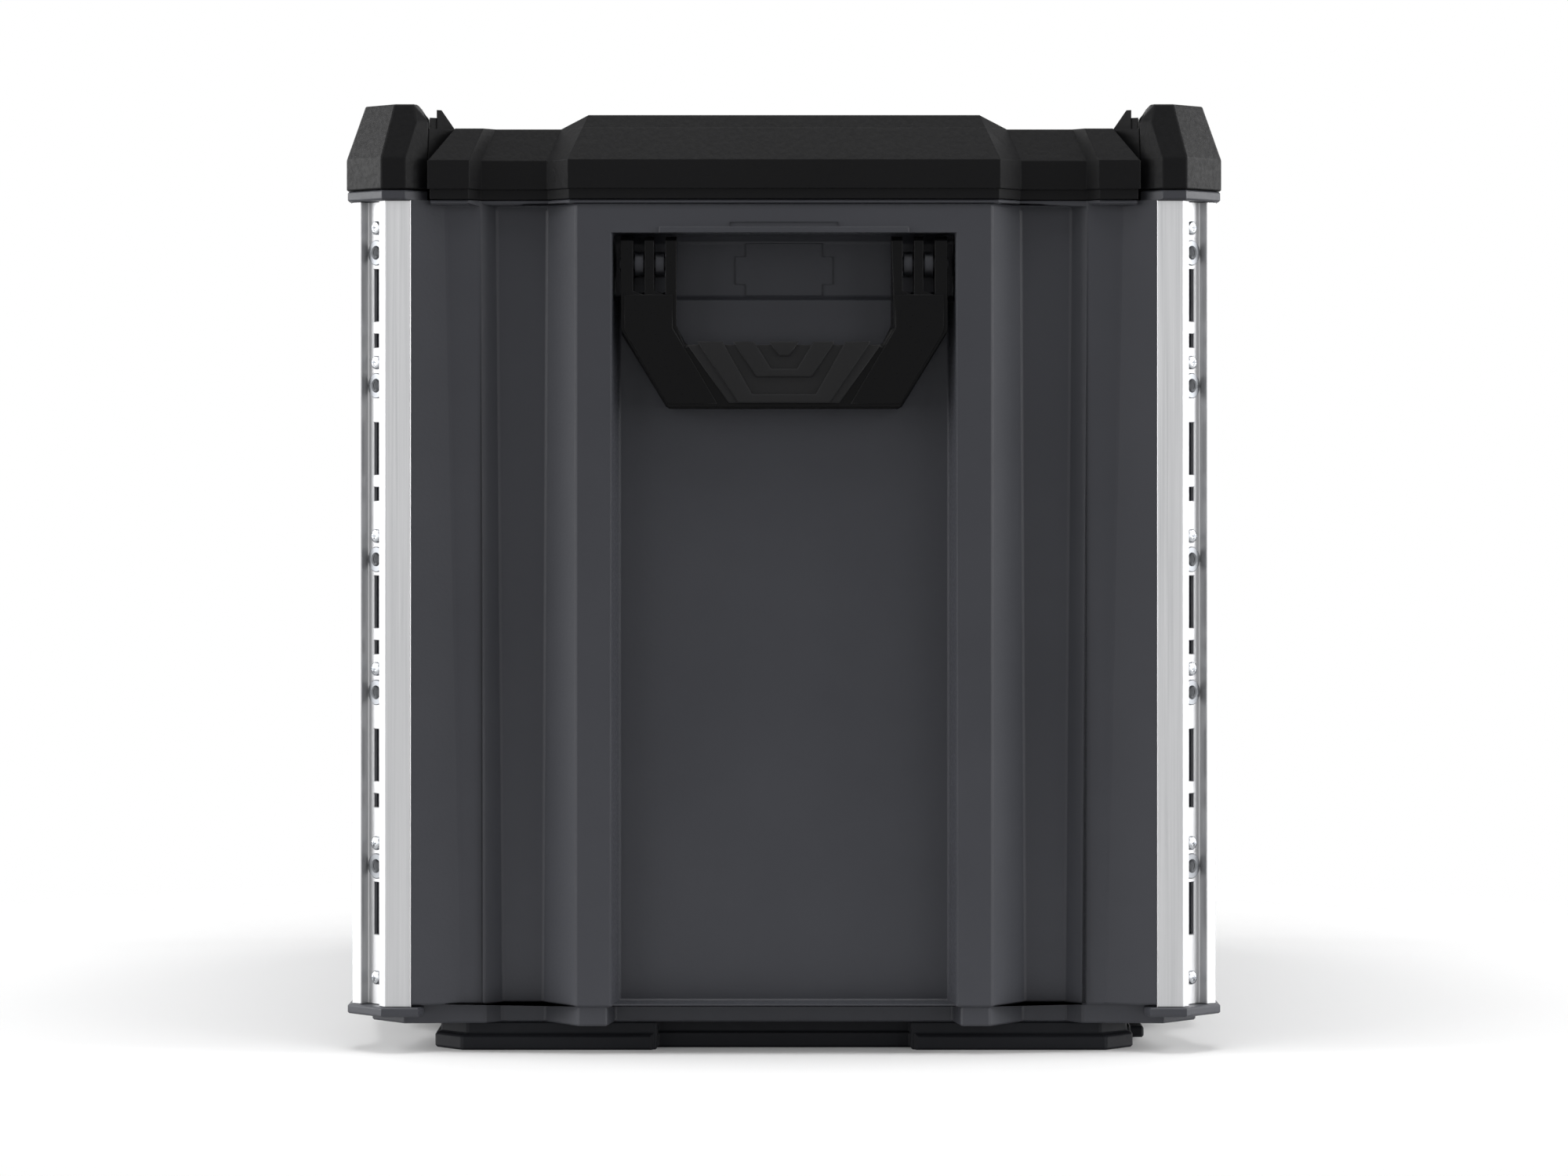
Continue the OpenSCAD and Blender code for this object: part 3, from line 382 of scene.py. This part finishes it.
def finish_piece(shape: bmesh.types.BMesh, name: str, finish: Finish, body: Body,
                 nodes: tuple[str, ...] = (), smooth_below: float = 1.0) -> bpy.types.Object:
    """Turns a shape into a finished piece of the chest.

    Args:
        shape: The piece's mesh, in metres and in place. It is freed.
        name: The piece's name.
        finish: What it is made of.
        body: The body that it moves with.
        nodes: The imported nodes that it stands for.
        smooth_below: Faces that meet at less than this angle, in degrees, shade as one.

    Returns:
        The piece's object.
    """
    for face in shape.faces:
        face.smooth = True
    for edge in shape.edges:
        edge.smooth = len(edge.link_faces) == 2 and edge.calc_face_angle(0) < radians(smooth_below)
    mesh = bpy.data.meshes.new(name)
    shape.to_mesh(mesh)
    shape.free()
    mesh.materials.append(finish.material())
    piece = bpy.data.objects.new(name, mesh)
    bpy.context.scene.collection.objects.link(piece)
    broad = piece.modifiers.new("broad_faces_stay_flat", "WEIGHTED_NORMAL")
    broad.keep_sharp = True
    broad.weight = 50
    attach(piece, body.value)
    if nodes:
        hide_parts(*nodes)
    LOG.info("%s: %d faces, %s, on %s", name, len(mesh.polygons), finish.name, body.value)
    return piece


def worked_shape(node: str, edge: float, shortest: float) -> bmesh.types.BMesh:
    """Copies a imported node's mesh and chamfers its long edges.

    Args:
        node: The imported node.
        edge: Width of the chamfers, in millimetres, or 0 for none.
        shortest: Only edges longer than this, in millimetres, are chamfered.

    Returns:
        The worked mesh, in metres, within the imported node's box.
    """
    shape = bmesh.new()
    shape.from_mesh(frame["nodes"][node].data)
    low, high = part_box(node)
    bmesh.ops.remove_doubles(shape, verts=shape.verts, dist=SAME_POINT_MM * MM)
    bmesh.ops.dissolve_limit(shape, angle_limit=radians(FLAT_TURN), verts=shape.verts, edges=shape.edges)
    if edge:
        edges = [e for e in shape.edges if len(e.link_faces) == 2
                 and abs(e.calc_face_angle(0)) > radians(SHARP_TURN) and e.calc_length() > shortest * MM
                 and all(near.calc_length() > ROOM_FOR_EDGE * edge * MM
                         for end in e.verts for near in end.link_edges)]
        bmesh.ops.bevel(shape, geom=edges, offset=edge * MM, offset_type="OFFSET",
                        segments=1, profile=0.5, affect="EDGES", material=-1, clamp_overlap=False)
        for corner in shape.verts:
            corner.co = [min(max(value, least), most) for value, least, most in zip(corner.co, low, high)]
    return shape


def work_node(node: str, finish: Finish, edge: float = 0.0, shortest: float = 4.0) -> bpy.types.Object:
    """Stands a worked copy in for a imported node.

    Args:
        node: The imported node.
        finish: What it is made of.
        edge: Width of the chamfers of its edges, in millimetres, or 0 for none.
        shortest: Only edges longer than this, in millimetres, are chamfered.

    Returns:
        The piece's object.
    """
    shape = worked_shape(node, edge, shortest)
    return finish_piece(shape, node + "_moulding", finish, body_of_node(node), (node,))


def spun_shape(profile: list[tuple[float, float]], steps: int) -> bmesh.types.BMesh:
    """Spins a profile about the Z axis into a closed shape.

    Args:
        profile: Points as (radius, height), in millimetres, from the bottom of the axis to its top.
        steps: Faces around.

    Returns:
        The spun mesh, in metres, with its axis on Z.
    """
    shape = bmesh.new()
    corners = [shape.verts.new((r * MM, 0, z * MM)) for r, z in profile]
    line = [shape.edges.new(pair) for pair in zip(corners, corners[1:])]
    bmesh.ops.spin(shape, geom=corners + line, cent=(0, 0, 0), axis=(0, 0, 1), angle=radians(360),
                   steps=steps, use_merge=True)
    bmesh.ops.remove_doubles(shape, verts=shape.verts, dist=0.001 * MM)
    bmesh.ops.recalc_face_normals(shape, faces=shape.faces)
    return shape


def add_copies(shape: bmesh.types.BMesh, pattern: bpy.types.Mesh, places: list[Matrix]) -> None:
    """Adds a pattern to a shape once at each place.

    Args:
        shape: The mesh that gets the copies.
        pattern: The mesh that is copied.
        places: Where each copy stands, as turns and shifts.
    """
    for place in places:
        known = set(shape.verts)
        shape.from_mesh(pattern)
        bmesh.ops.transform(shape, matrix=place, verts=[v for v in shape.verts if v not in known])


def facing(point: Vector, outward: Vector) -> Matrix:
    """A place whose Z axis points outward and whose X axis points up.

    Args:
        point: Where its origin stands, in metres.
        outward: Where its Z axis points.

    Returns:
        The place as a matrix.
    """
    z = outward.normalized()
    y = z.cross(Vector((0, 0, 1))).normalized()
    x = y.cross(z)
    return Matrix.Translation(point) @ Matrix((x, y, z)).transposed().to_4x4()


# ---- Tub ----


@dataclass
class Tub:
    """The grey tub with its stacking base."""

    edge: float = 0.7
    shortest: float = 6.0
    base_edge: float = 0.9
    pocket_y: float = 256.0
    wall_y: float = 278.0
    line_w: float = 0.8
    line_h: float = 0.5
    line_sunk: float = 0.1
    insert_outline: tuple[tuple[float, float], ...] = (
        (-17.6, 369.0), (-17.6, 363.0), (-22.4, 363.0), (-22.4, 350.4), (-17.6, 350.4), (-17.6, 345.2),
        (17.6, 345.2), (17.6, 350.4), (22.4, 350.4), (22.4, 363.0), (17.6, 363.0), (17.6, 369.0))
    tab_outline: tuple[tuple[float, float], ...] = (
        (-24.5, 374.2), (-24.5, 377.8), (24.5, 377.8), (24.5, 374.2))

    def build(self) -> None:
        """Makes the tub's pieces."""
        work_node("tub", TUB_PLASTIC, self.edge, self.shortest)
        # the stacking base's darker colour is painted shade
        work_node("stacking_base", BASE_PLASTIC_PAINTED_SHADE, self.base_edge)
        for end in End:
            self.witness_lines(end, "pocket", self.insert_outline, self.pocket_y)
            self.witness_lines(end, "rim", self.tab_outline, self.wall_y)

    def witness_lines(self, end: End, place: str, outline: tuple[tuple[float, float], ...],
                      y: float) -> None:
        """Makes the fine raised line that a mould insert leaves round its edge.

        Args:
            end: The end that it is on.
            place: Its word in the piece's name.
            outline: Its corners as (x, z), in millimetres.
            y: How far its wall lies from the middle of the chest, in millimetres.
        """
        shape = bmesh.new()
        depth = end.value * (y - self.line_sunk)
        corners = [shape.verts.new((x * MM, depth * MM, z * MM)) for x, z in outline]
        face = shape.faces.new(corners)
        bmesh.ops.inset_individual(shape, faces=[face], thickness=self.line_w * MM)
        shape.faces.remove(face)
        ring = bmesh.ops.extrude_face_region(shape, geom=list(shape.faces))
        raised = [v for v in ring["geom"] if isinstance(v, bmesh.types.BMVert)]
        bmesh.ops.translate(shape, vec=(0, end.value * (self.line_h + self.line_sunk) * MM, 0),
                            verts=raised)
        bmesh.ops.recalc_face_normals(shape, faces=shape.faces)
        # the lines' lighter colour is a painted highlight
        finish_piece(shape, f"mould_line_{place}_{end.label}", LINE_PLASTIC_PAINTED_HIGHLIGHT, Body.CHEST,
                     smooth_below=ALL_SMOOTH)


# ---- Corner rails ----


@dataclass
class CornerRails:
    """The slotted aluminium rails with their screws and threaded inserts."""

    edge: float = 0.35
    shortest: float = 2.5
    half_w: float = 200.0
    half_l: float = 276.0
    rail_top: float = 388.0
    floor_in: float = 20.3355
    screw_downs: tuple[float, ...] = (12.1, 73.5, 152.7, 213.4, 292.9, 354.3)
    insert_downs: tuple[float, ...] = (23.4, 84.1, 163.4, 224.1, 303.4)
    screw_profile: tuple[tuple[float, float], ...] = (
        (0, -12), (1.4, -12), (2, -11.2), (2, 0), (3.25, 0), (3.25, 0.5), (3.12, 1.1), (2.7, 1.7),
        (1.9, 2.1), (0, 2.2))
    insert_profile: tuple[tuple[float, float], ...] = (
        (0, -11), (4.1, -11), (4.5, -10.6), (4.5, 0), (5.85, 0), (5.85, 0.65), (5.5, 1.0), (3.2, 1.0),
        (2.55, 0.4))
    thread_pitch: float = 1.0
    thread_r: tuple[float, float] = (2.5, 2.95)
    thread_turns: int = 9
    bore_foot: tuple[float, float] = (-9.6, -10.0)
    screw_steps: int = 20
    insert_steps: int = 24
    head_h: float = 2.2
    recess_half: float = 1.9
    recess_arm: float = 0.45
    recess_depth: float = 1.5
    recess_taper: float = 0.55
    driver_top: float = 2.8
    smooth_below: float = 25.0

    def build(self) -> None:
        """Makes the rails and their hardware at all four corners."""
        screw = self.screw_pattern()
        insert = self.insert_pattern()
        for corner in Corner:
            work_node("corner_rail_" + corner.label, RAIL_ALUMINIUM, self.edge, self.shortest)
            self.fasteners(corner, "rail_screws_", PLATED_STEEL, screw, self.screw_downs)
            self.fasteners(corner, "rail_inserts_", DARK_PLATED_STEEL, insert, self.insert_downs)

    def fasteners(self, corner: Corner, prefix: str, finish: Finish, pattern: bpy.types.Mesh,
                  downs: tuple[float, ...]) -> None:
        """Sets a row of fasteners in a rail's channel.

        Args:
            corner: The rail's corner.
            prefix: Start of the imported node's name.
            finish: What they are made of.
            pattern: One fastener, with its axis on Z.
            downs: How far below the rail's top each one stands, in millimetres.
        """
        side, end = corner.value
        outward = Vector((side, end, 0)).normalized()
        inset = self.floor_in / sqrt(2)
        places = [facing(Vector((side * (self.half_w - inset), end * (self.half_l - inset),
                                 self.rail_top - down)) * MM, outward) for down in downs]
        shape = bmesh.new()
        add_copies(shape, pattern, places)
        node = prefix + corner.label
        finish_piece(shape, node + "_formed", finish, Body.CHEST, (node,), self.smooth_below)

    def screw_pattern(self) -> bpy.types.Mesh:
        """Makes one pan-head screw with a cross recess.

        Returns:
            Its mesh, with its axis on Z and its seat at the origin.
        """
        shape = spun_shape(list(self.screw_profile), self.screw_steps)
        mesh = bpy.data.meshes.new("pan_head_screw")
        shape.to_mesh(mesh)
        shape.free()
        screw = bpy.data.objects.new("pan_head_screw", mesh)
        cutter = bpy.data.objects.new("cross_driver", self.driver_mesh())
        for item in (screw, cutter):
            bpy.context.scene.collection.objects.link(item)
        cut = screw.modifiers.new("cross", "BOOLEAN")
        cut.object = cutter
        cut.operation = "DIFFERENCE"
        cut.solver = "EXACT"
        bpy.context.view_layer.update()
        worked = screw.evaluated_get(bpy.context.evaluated_depsgraph_get())
        done = bpy.data.meshes.new_from_object(worked)
        for item in (screw, cutter):
            bpy.data.objects.remove(item)
        return done

    def driver_mesh(self) -> bpy.types.Mesh:
        """Makes the tapered cross that the recess is cut with.

        Returns:
            Its mesh, standing through the top of a screw's head.
        """
        arm, reach, top = self.recess_arm, self.recess_half, self.driver_top
        quarter = [(arm, arm), (arm, reach), (-arm, reach)]
        points = []
        for turn in range(4):
            points += [Vector((x, y, top)) @ Matrix.Rotation(radians(-90 * turn), 3, "Z") for x, y in quarter]
        shape = bmesh.new()
        face = shape.faces.new([shape.verts.new(p * MM) for p in points])
        pushed = bmesh.ops.extrude_face_region(shape, geom=[face])
        low = [v for v in pushed["geom"] if isinstance(v, bmesh.types.BMVert)]
        bmesh.ops.scale(shape, vec=(self.recess_taper, self.recess_taper, 1), verts=low)
        bmesh.ops.translate(shape, vec=(0, 0, -(top - self.head_h + self.recess_depth) * MM), verts=low)
        bmesh.ops.recalc_face_normals(shape, faces=shape.faces)
        mesh = bpy.data.meshes.new("cross_driver")
        shape.to_mesh(mesh)
        shape.free()
        return mesh

    def insert_pattern(self) -> bpy.types.Mesh:
        """Makes one flanged insert with its thread.

        Returns:
            Its mesh, with its axis on Z and its flange's seat at the origin.
        """
        core, crest = self.thread_r
        thread = []
        for turn in range(self.thread_turns):
            thread += [(crest, -(turn + 0.25) * self.thread_pitch),
                       (core, -(turn + 0.75) * self.thread_pitch)]
        wall_foot, cone_foot = self.bore_foot
        shape = spun_shape([*self.insert_profile, *thread, (core, wall_foot), (0, cone_foot)],
                           self.insert_steps)
        mesh = bpy.data.meshes.new("threaded_insert")
        shape.to_mesh(mesh)
        shape.free()
        return mesh


# ---- Lid ----


@dataclass
class Lid:
    """The black lid with its corner towers and its seal."""

    gasket_edge: float = 0.6
    tower_edge: float = 0.45
    tower_shortest: float = 5.0

    def build(self) -> None:
        """Makes the lid's pieces. The lid's own edges are too close together for chamfers."""
        work_node("lid", LID_PLASTIC)
        work_node("lid_gasket", SEAL_RUBBER, self.gasket_edge)
        for corner in Corner:
            work_node("lid_tower_" + corner.label, LID_PLASTIC, self.tower_edge, self.tower_shortest)


# ---- Hinges and latches ----


@dataclass
class Fittings:
    """The hinges on the rear side and the latches on the front side."""

    edge: float = 0.5
    shortest: float = 2.0
    lever_edge: float = 0.9
    lever_shortest: float = 3.0

    def build(self) -> None:
        """Makes the fittings of both ends."""
        for end in End:
            for part in ("hinge_base_", "hinge_leaf_", "latch_ears_", "latch_keeper_"):
                work_node(part + end.label, LID_PLASTIC, self.edge, self.shortest)
            work_node("latch_lever_" + end.label, LID_PLASTIC, self.lever_edge, self.lever_shortest)
            for part in ("hinge_pin_", "latch_pin_"):
                work_node(part + end.label, PLATED_STEEL)


# ---- Carry handles ----


@dataclass
class CarryHandles:
    """The swinging bail at each end, with its grip pad and its two pins."""

    edge: float = 1.1
    grip_face: float = 276.0
    pad_t: float = 1.2
    band_t: float = 1.2
    plate_edge: float = 0.6
    pad_outline: tuple[tuple[float, float], ...] = ((44.0, 322.2), (25.1, 295.8))
    bands: tuple[tuple[tuple[float, float], ...], ...] = (
        ((39.4, 323.6), (20.8, 295.8), (14.4, 299.8), (27.8, 323.6)),
        ((23.2, 323.6), (12.7, 307.6), (5.9, 311.3), (13.4, 323.6)))
    middle_band: tuple[tuple[float, float], ...] = ((6.9, 323.6), (2.3, 317.1))
    arm_t: float = 0.9
    arm_plate: tuple[tuple[float, float], ...] = (
        (72.6, 345.0), (72.6, 328.5), (53.0, 295.4), (30.2, 295.4), (50.4, 329.8), (50.4, 345.0))

    def build(self) -> None:
        """Makes both handles."""
        for end in End:
            work_node("handle_" + end.label, HANDLE_NYLON, self.edge)
            self.grip_pad(end)
            self.arm_plates(end)
            # the pins' near-black colour is painted shade
            work_node("handle_pins_" + end.label, PIN_STEEL_PAINTED_SHADE)

    def arm_plates(self, end: End) -> None:
        """Makes the raised plates that stiffen the bail where its arms meet the grip.

        Args:
            end: The handle's end.
        """
        shape = bmesh.new()
        for side in (-1, 1):
            outline = [(side * x, z) for x, z in self.arm_plate]
            self.plate(shape, end, outline, 0.0, self.arm_t)
        body = body_of_node("handle_" + end.label)
        finish_piece(shape, "handle_arm_plates_" + end.label, HANDLE_NYLON, body, smooth_below=ALL_SMOOTH)

    def grip_pad(self, end: End) -> None:
        """Makes the rubber pad with its nested raised bands.

        Args:
            end: The handle's end.
        """
        shape = bmesh.new()
        self.plate(shape, end, self.mirrored(self.pad_outline), 0.0, self.pad_t)
        self.plate(shape, end, self.mirrored(self.middle_band), self.pad_t, self.band_t)
        for outer_top, outer_foot, inner_foot, inner_top in self.bands:
            outline = [*self.mirrored((outer_top, outer_foot)),
                       *[(-x, z) for x, z in (inner_top, inner_foot)], inner_foot, inner_top]
            self.plate(shape, end, outline, self.pad_t, self.band_t)
        node = "grip_pad_" + end.label
        finish_piece(shape, node + "_overmoulding", GRIP_RUBBER, body_of_node(node), (node,), ALL_SMOOTH)

    def mirrored(self, half: tuple[tuple[float, float], ...]) -> list[tuple[float, float]]:
        """Closes half an outline with its mirror image in the middle plane."""
        return [*half, *[(-x, z) for x, z in reversed(half)]]

    def plate(self, shape: bmesh.types.BMesh, end: End, outline: list[tuple[float, float]],
              back: float, thickness: float) -> None:
        """Adds a flat plate with chamfered front edges to a mesh.

        Args:
            shape: The mesh that gets the plate.
            end: The handle's end.
            outline: Its corners as (x, z), in millimetres.
            back: How far its back stands in front of the grip, in millimetres.
            thickness: Its thickness, in millimetres.
        """
        y = end.value * (self.grip_face + back)
        face = shape.faces.new([shape.verts.new((x * MM, y * MM, z * MM)) for x, z in outline])
        pushed = bmesh.ops.extrude_face_region(shape, geom=[face])
        front = [v for v in pushed["geom"] if isinstance(v, bmesh.types.BMVert)]
        bmesh.ops.translate(shape, vec=(0, end.value * thickness * MM, 0), verts=front)
        rim = [e for e in shape.edges if all(v in front for v in e.verts)]
        bmesh.ops.bevel(shape, geom=rim, offset=self.plate_edge * MM, offset_type="OFFSET",
                        segments=1, profile=0.5, affect="EDGES", material=-1, clamp_overlap=False)
        bmesh.ops.recalc_face_normals(shape, faces=shape.faces)


# ---- Studio ----


@dataclass
class Studio:
    """The plain floor, the soft lights, the pale surroundings and the camera."""

    floor_r: float = 2600.0
    floor_steps: int = 96
    floor_colour: str = "#E2E2E2"
    floor_glow: float = 0.1
    fade_from: float = 330.0
    fade_ratio: float = 2.2
    surround: float = 0.05
    camera_y: float = -2410.0
    camera_z: float = 259.5
    lens: float = 108.0
    shift_y: float = -0.067
    sensor: float = 36.0
    far_limit_m: float = 50.0
    lamp_aim_m: float = 0.2
    lamps: tuple[tuple[tuple[float, float, float], float, float], ...] = (
        ((-2100, -150, 700), 1600, 56.0), ((2100, -150, 700), 1600, 56.0),
        ((-1900, -1400, 700), 1700, 15.0), ((1900, -1400, 700), 1700, 15.0), ((0, -500, 2300), 1500, 30.0),
        ((-1500, 1900, 1000), 1500, 16.0), ((1500, 1900, 1000), 1500, 16.0))

    def build(self) -> None:
        """Sets up the whole studio."""
        scene = bpy.context.scene
        scene.view_settings.view_transform = "Standard"
        self.camera(scene)
        self.world(scene)
        self.floor(scene)
        for number, (place, size, power) in enumerate(self.lamps):
            self.softbox(scene, f"softbox_{number}", Vector(place) * MM, size * MM, power)

    def camera(self, scene: bpy.types.Scene) -> None:
        """Sets a level camera in front of the near end."""
        data = bpy.data.cameras.new("studio_camera")
        data.lens = self.lens
        data.sensor_width = self.sensor
        data.shift_y = self.shift_y
        data.clip_end = self.far_limit_m
        camera = bpy.data.objects.new("studio_camera", data)
        camera.location = Vector((0, self.camera_y, self.camera_z)) * MM
        camera.rotation_euler = (radians(90), 0, 0)
        scene.collection.objects.link(camera)
        scene.camera = camera

    def world(self, scene: bpy.types.Scene) -> None:
        """Surrounds the chest with plain white that lights it only a little."""
        world = bpy.data.worlds.new("white_surround")
        world.use_nodes = True
        tree = world.node_tree
        tree.nodes.clear()
        path = add_node(tree, "ShaderNodeLightPath")
        seen = path.outputs["Is Camera Ray"]
        for ray in ("Is Glossy Ray", "Is Transmission Ray"):
            seen = add_node(tree, "ShaderNodeMath", {"operation": "MAXIMUM"},
                            {0: seen, 1: path.outputs[ray]}).outputs[0]
        level = add_node(tree, "ShaderNodeMapRange", {"To Min": self.surround, "To Max": 1.0},
                         {"Value": seen})
        white = add_node(tree, "ShaderNodeBackground", {"Color": linear("#FFFFFF")},
                         {"Strength": level.outputs[0]})
        add_node(tree, "ShaderNodeOutputWorld", links={"Surface": white.outputs[0]})
        scene.world = world

    def floor(self, scene: bpy.types.Scene) -> None:
        """Lays a pale floor that fades into the white around it."""
        shape = bmesh.new()
        bmesh.ops.create_circle(shape, cap_ends=True, segments=self.floor_steps, radius=self.floor_r * MM)
        mesh = bpy.data.meshes.new("studio_floor")
        shape.to_mesh(mesh)
        shape.free()
        material = bpy.data.materials.new("pale_studio_floor")
        material.use_nodes = True
        tree = material.node_tree
        tree.nodes.clear()
        place = add_node(tree, "ShaderNodeTexCoord").outputs["Object"]
        reach = add_node(tree, "ShaderNodeVectorMath", {"operation": "LENGTH"}, {0: place})
        fade = add_node(tree, "ShaderNodeMapRange",
                        {"interpolation_type": "SMOOTHSTEP", "From Min": self.fade_from * MM,
                         "From Max": self.fade_ratio * self.fade_from * MM},
                        {"Value": reach.outputs["Value"]})
        paint = add_node(tree, "ShaderNodeBsdfDiffuse", {"Color": linear(self.floor_colour)})
        clear = add_node(tree, "ShaderNodeBsdfTransparent")
        path = add_node(tree, "ShaderNodeLightPath")
        glow_level = add_node(tree, "ShaderNodeMath", {"operation": "MULTIPLY", 1: self.floor_glow},
                              {0: path.outputs["Is Camera Ray"]})
        glow = add_node(tree, "ShaderNodeEmission", {"Color": linear("#FFFFFF")},
                        {"Strength": glow_level.outputs[0]})
        lit = add_node(tree, "ShaderNodeAddShader", links={0: paint.outputs[0], 1: glow.outputs[0]})
        both = add_node(tree, "ShaderNodeMixShader", links={
            0: fade.outputs[0], 1: lit.outputs[0], 2: clear.outputs[0]})
        add_node(tree, "ShaderNodeOutputMaterial", links={"Surface": both.outputs[0]})
        mesh.materials.append(material)
        floor = bpy.data.objects.new("studio_floor", mesh)
        scene.collection.objects.link(floor)

    def softbox(self, scene: bpy.types.Scene, name: str, place: Vector, size: float, power: float) -> None:
        """Hangs a square soft light that faces the chest.

        Args:
            scene: The scene.
            name: The light's name.
            place: Where it hangs, in metres.
            size: Its side, in metres.
            power: Its power, in watts.
        """
        data = bpy.data.lights.new(name, "AREA")
        data.shape = "SQUARE"
        data.size = size
        data.energy = power
        lamp = bpy.data.objects.new(name, data)
        lamp.location = place
        lamp.rotation_euler = (place - Vector((0, 0, self.lamp_aim_m))).to_track_quat("Z", "Y").to_euler()
        scene.collection.objects.link(lamp)


def main() -> None:
    """Builds the studio and every sub-assembly."""
    logging.basicConfig(level=logging.INFO, format="%(name)s %(message)s")
    for assembly in (Studio(), Tub(), CornerRails(), Lid(), Fittings(), CarryHandles()):
        LOG.info("building %s", type(assembly).__name__)
        assembly.build()


if __name__ == "__main__":
    main()
